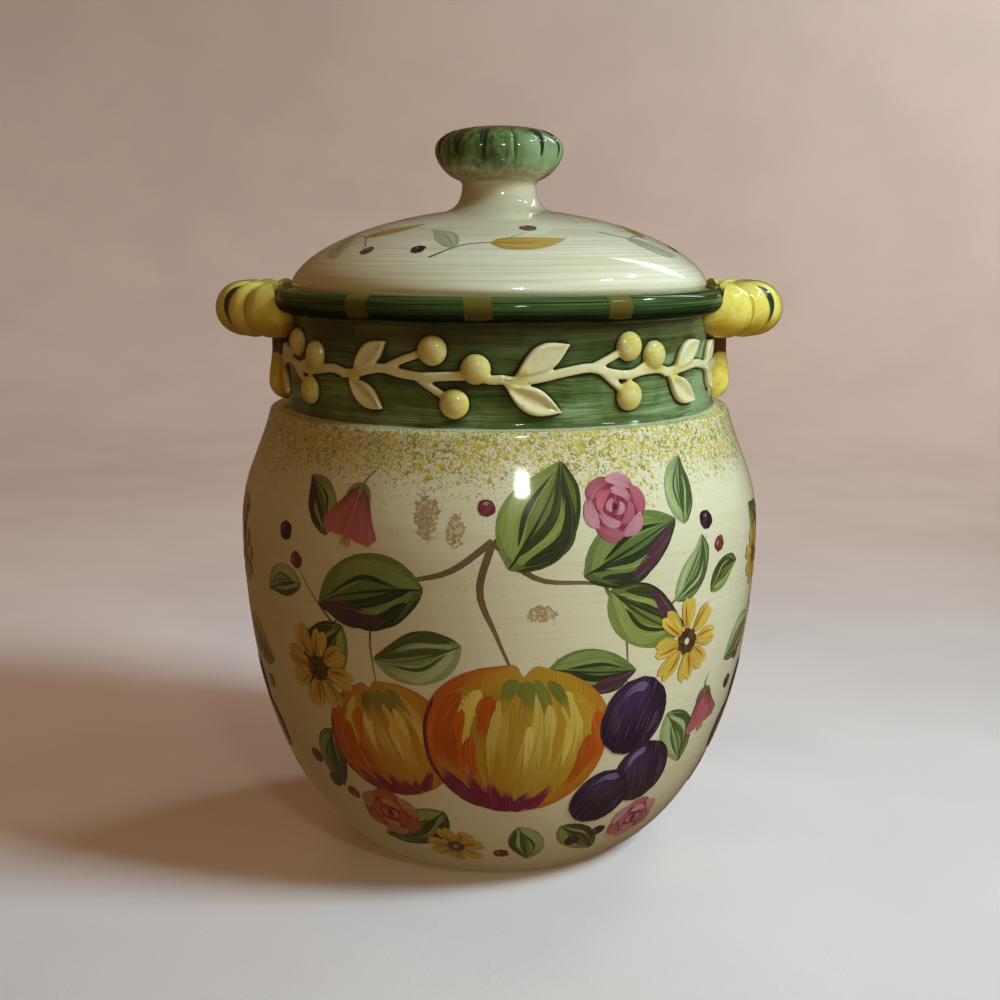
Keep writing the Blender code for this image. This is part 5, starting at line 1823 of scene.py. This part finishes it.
def make_stage(stage):
    line = [(0.0, 0.0)] + [(0.15 * i, 0.0) for i in range(1, 7)]
    line += arc((0.9, 0.6), 0.6, -90, 0, 12)[1:] + [(1.5, 1.2)]
    bm = bmesh.new()
    steps = 96
    rings = [[bm.verts.new((r * math.cos(a), r * math.sin(a), z)) for a in
              (2 * math.pi * k / steps for k in range(steps))] for r, z in line[1:]]
    middle = bm.verts.new((0, 0, 0))
    for k in range(steps):
        bm.faces.new((middle, rings[0][k], rings[0][(k + 1) % steps]))
        for a, b in zip(rings, rings[1:]):
            bm.faces.new((a[k], b[k], b[(k + 1) % steps], a[(k + 1) % steps]))
    floor = object_from("floor", bm)
    floor.data.shade_smooth()
    floor.data.materials.append(floor_finish(stage.floor))
    # The room round the jar is dim and warm, so the pale floor neither lights it nor shows in
    # its glaze.
    floor.visible_diffuse = False
    floor.visible_glossy = False

    add_panel_light("window", (0.68, -0.30, 0.68), (0, 0, 0.12), (0.26, 0.28), stage.key_power,
                    (0.575, 0.79, 1.0), "surfaces", 90)
    add_panel_light("pane", (0.78, -0.22, 0.44), (0, 0, 0.14), (0.17, 0.05), stage.pane_power,
                    (0.82, 0.95, 1.0), "glaze")
    for i, place in enumerate(((0.60, -0.15, 0.87), (0.63, 0.13, 0.84))):
        add_panel_light(f"skylight_{i + 1}", place, (0, 0, 0.20), (0.10, 0.030),
                        28.0 * stage.pane_power, (0.88, 0.97, 1.0), "glaze")
    add_panel_light("lamp", BULB_PLACE, (0, 0, 0.13), (0.066, 0.013), stage.lamp_power,
                    (1.0, 0.84, 0.55), "surfaces")
    add_panel_light("bulb", BULB_PLACE, (0, 0, 0.13), (0.066, 0.012), 4.0 * stage.lamp_power,
                    (1.0, 0.93, 0.80), "glaze")
    add_panel_light("fill", (-0.80, -0.50, 0.40), (0, 0, 0.10), (0.7, 0.6), stage.fill_power,
                    (1.0, 0.38, 0.08))
    add_panel_light("backdrop", (0.70, 0.70, 0.90), (-0.15, 1.5, 0.35), (0.5, 0.5),
                    stage.backdrop_power, (0.92, 0.91, 0.95))
    add_panel_light("bounce", (0.30, -0.40, 0.06), (0, -0.02, 0.05), (0.45, 0.06),
                    0.5 * stage.bounce_power, (0.95, 0.93, 0.93), "surfaces")
    add_panel_light("rear", (-0.55, 0.75, 0.95), (-0.25, 0.20, 0), (0.5, 0.5), stage.bounce_power,
                    (1.0, 0.50, 0.42), "surfaces")
    world = bpy.data.worlds.new("studio")
    world.use_nodes = True
    room = world.node_tree.nodes["Background"].inputs
    room["Color"].default_value = ROOM_TINT
    room["Strength"].default_value = ROOM_GLOW
    bpy.context.scene.world = world

    camera = new_object("camera", bpy.data.cameras.new("camera"))
    camera.data.sensor_width = 36.0
    camera.data.lens = stage.lens
    camera.location = (0.0003, -stage.distance, stage.height)
    camera.rotation_euler = (math.pi / 2 - stage.pitch, 0.0, 0.0)
    bpy.context.scene.camera = camera
    bpy.context.scene.view_settings.view_transform = "Standard"


# Operators


class CANISTER_OT_jar(bpy.types.Operator):
    """Turn the jar and give it its glazes"""

    bl_idname = "canister.jar"
    bl_label = "Jar"

    def execute(self, context):
        jar, _, glazes = sizes_of(context)
        make_jar(jar, glazes)
        make_rim_dashes(jar, glazes)
        return {"FINISHED"}


class CANISTER_OT_vine(bpy.types.Operator):
    """Mould the vine's sprigs round the neck"""

    bl_idname = "canister.vine"
    bl_label = "Vine"

    def execute(self, context):
        jar, _, glazes = sizes_of(context)
        make_vine(jar, glazes)
        return {"FINISHED"}


class CANISTER_OT_handles(bpy.types.Operator):
    """Form the two handles with their drops"""

    bl_idname = "canister.handles"
    bl_label = "Handles"

    def execute(self, context):
        jar, _, glazes = sizes_of(context)
        make_handles(jar, glazes)
        return {"FINISHED"}


class CANISTER_OT_lid(bpy.types.Operator):
    """Turn the lid and paint its sprigs"""

    bl_idname = "canister.lid"
    bl_label = "Lid"

    def execute(self, context):
        jar, lid, glazes = sizes_of(context)
        make_lid(jar, lid, glazes)
        surface = TurnedSurface(lid_outer_line(lid), uneven(LID_LUMPS))
        paint_lid(surface).build("lid_sprigs", brush_paint(), "lid", "lid_cream_glaze")
        return {"FINISHED"}


class CANISTER_OT_knob(bpy.types.Operator):
    """Turn and flute the lid's knob"""

    bl_idname = "canister.knob"
    bl_label = "Knob"

    def execute(self, context):
        _, lid, glazes = sizes_of(context)
        make_knob(lid, glazes)
        return {"FINISHED"}


class CANISTER_OT_painting(bpy.types.Operator):
    """Paint fruit, leaves, flowers and berries round the belly"""

    bl_idname = "canister.painting"
    bl_label = "Painting"

    def execute(self, context):
        jar, _, _ = sizes_of(context)
        surface = jar_surface(jar)
        material = brush_paint()
        for place, layout, angle, mirrored in PANEL_PLACES:
            panel = Panel(surface, layout, angle, mirrored)
            for kind in ("leaves", "fruit", "flowers", "berries"):
                painting = paint_panel(panel, kind, angle + len(kind))
                painting.build(f"painted_{kind}_{place}", material, "jar", "jar_cream_glaze")
        return {"FINISHED"}


class CANISTER_OT_stage(bpy.types.Operator):
    """Set up the floor, lights and camera"""

    bl_idname = "canister.stage"
    bl_label = "Stage"

    def execute(self, context):
        make_stage(context.scene.canister_stage)
        return {"FINISHED"}


class CANISTER_PT_panel(bpy.types.Panel):
    """Lists the canister's pieces in the sidebar"""

    bl_idname = "CANISTER_PT_panel"
    bl_label = "Ceramic canister"
    bl_space_type = "VIEW_3D"
    bl_region_type = "UI"
    bl_category = "Canister"

    def draw(self, context):
        for operator in OPERATORS:
            self.layout.operator(operator.bl_idname)


GROUPS = {"canister_jar": JarSizes, "canister_lid": LidSizes, "canister_glazes": Glazes,
          "canister_stage": Stage}
OPERATORS = (CANISTER_OT_jar, CANISTER_OT_vine, CANISTER_OT_handles, CANISTER_OT_lid,
             CANISTER_OT_knob, CANISTER_OT_painting, CANISTER_OT_stage)


def register():
    for name, group in GROUPS.items():
        bpy.utils.register_class(group)
        setattr(bpy.types.Scene, name, PointerProperty(type=group))
    for cls in (*OPERATORS, CANISTER_PT_panel):
        bpy.utils.register_class(cls)


def unregister():
    for cls in (CANISTER_PT_panel, *reversed(OPERATORS)):
        bpy.utils.unregister_class(cls)
    for name, group in reversed(GROUPS.items()):
        delattr(bpy.types.Scene, name)
        bpy.utils.unregister_class(group)


def main():
    register()
    bpy.ops.canister.jar()
    bpy.ops.canister.vine()
    bpy.ops.canister.handles()
    bpy.ops.canister.lid()
    bpy.ops.canister.knob()
    bpy.ops.canister.painting()
    bpy.ops.canister.stage()


if __name__ == "__main__":
    main()
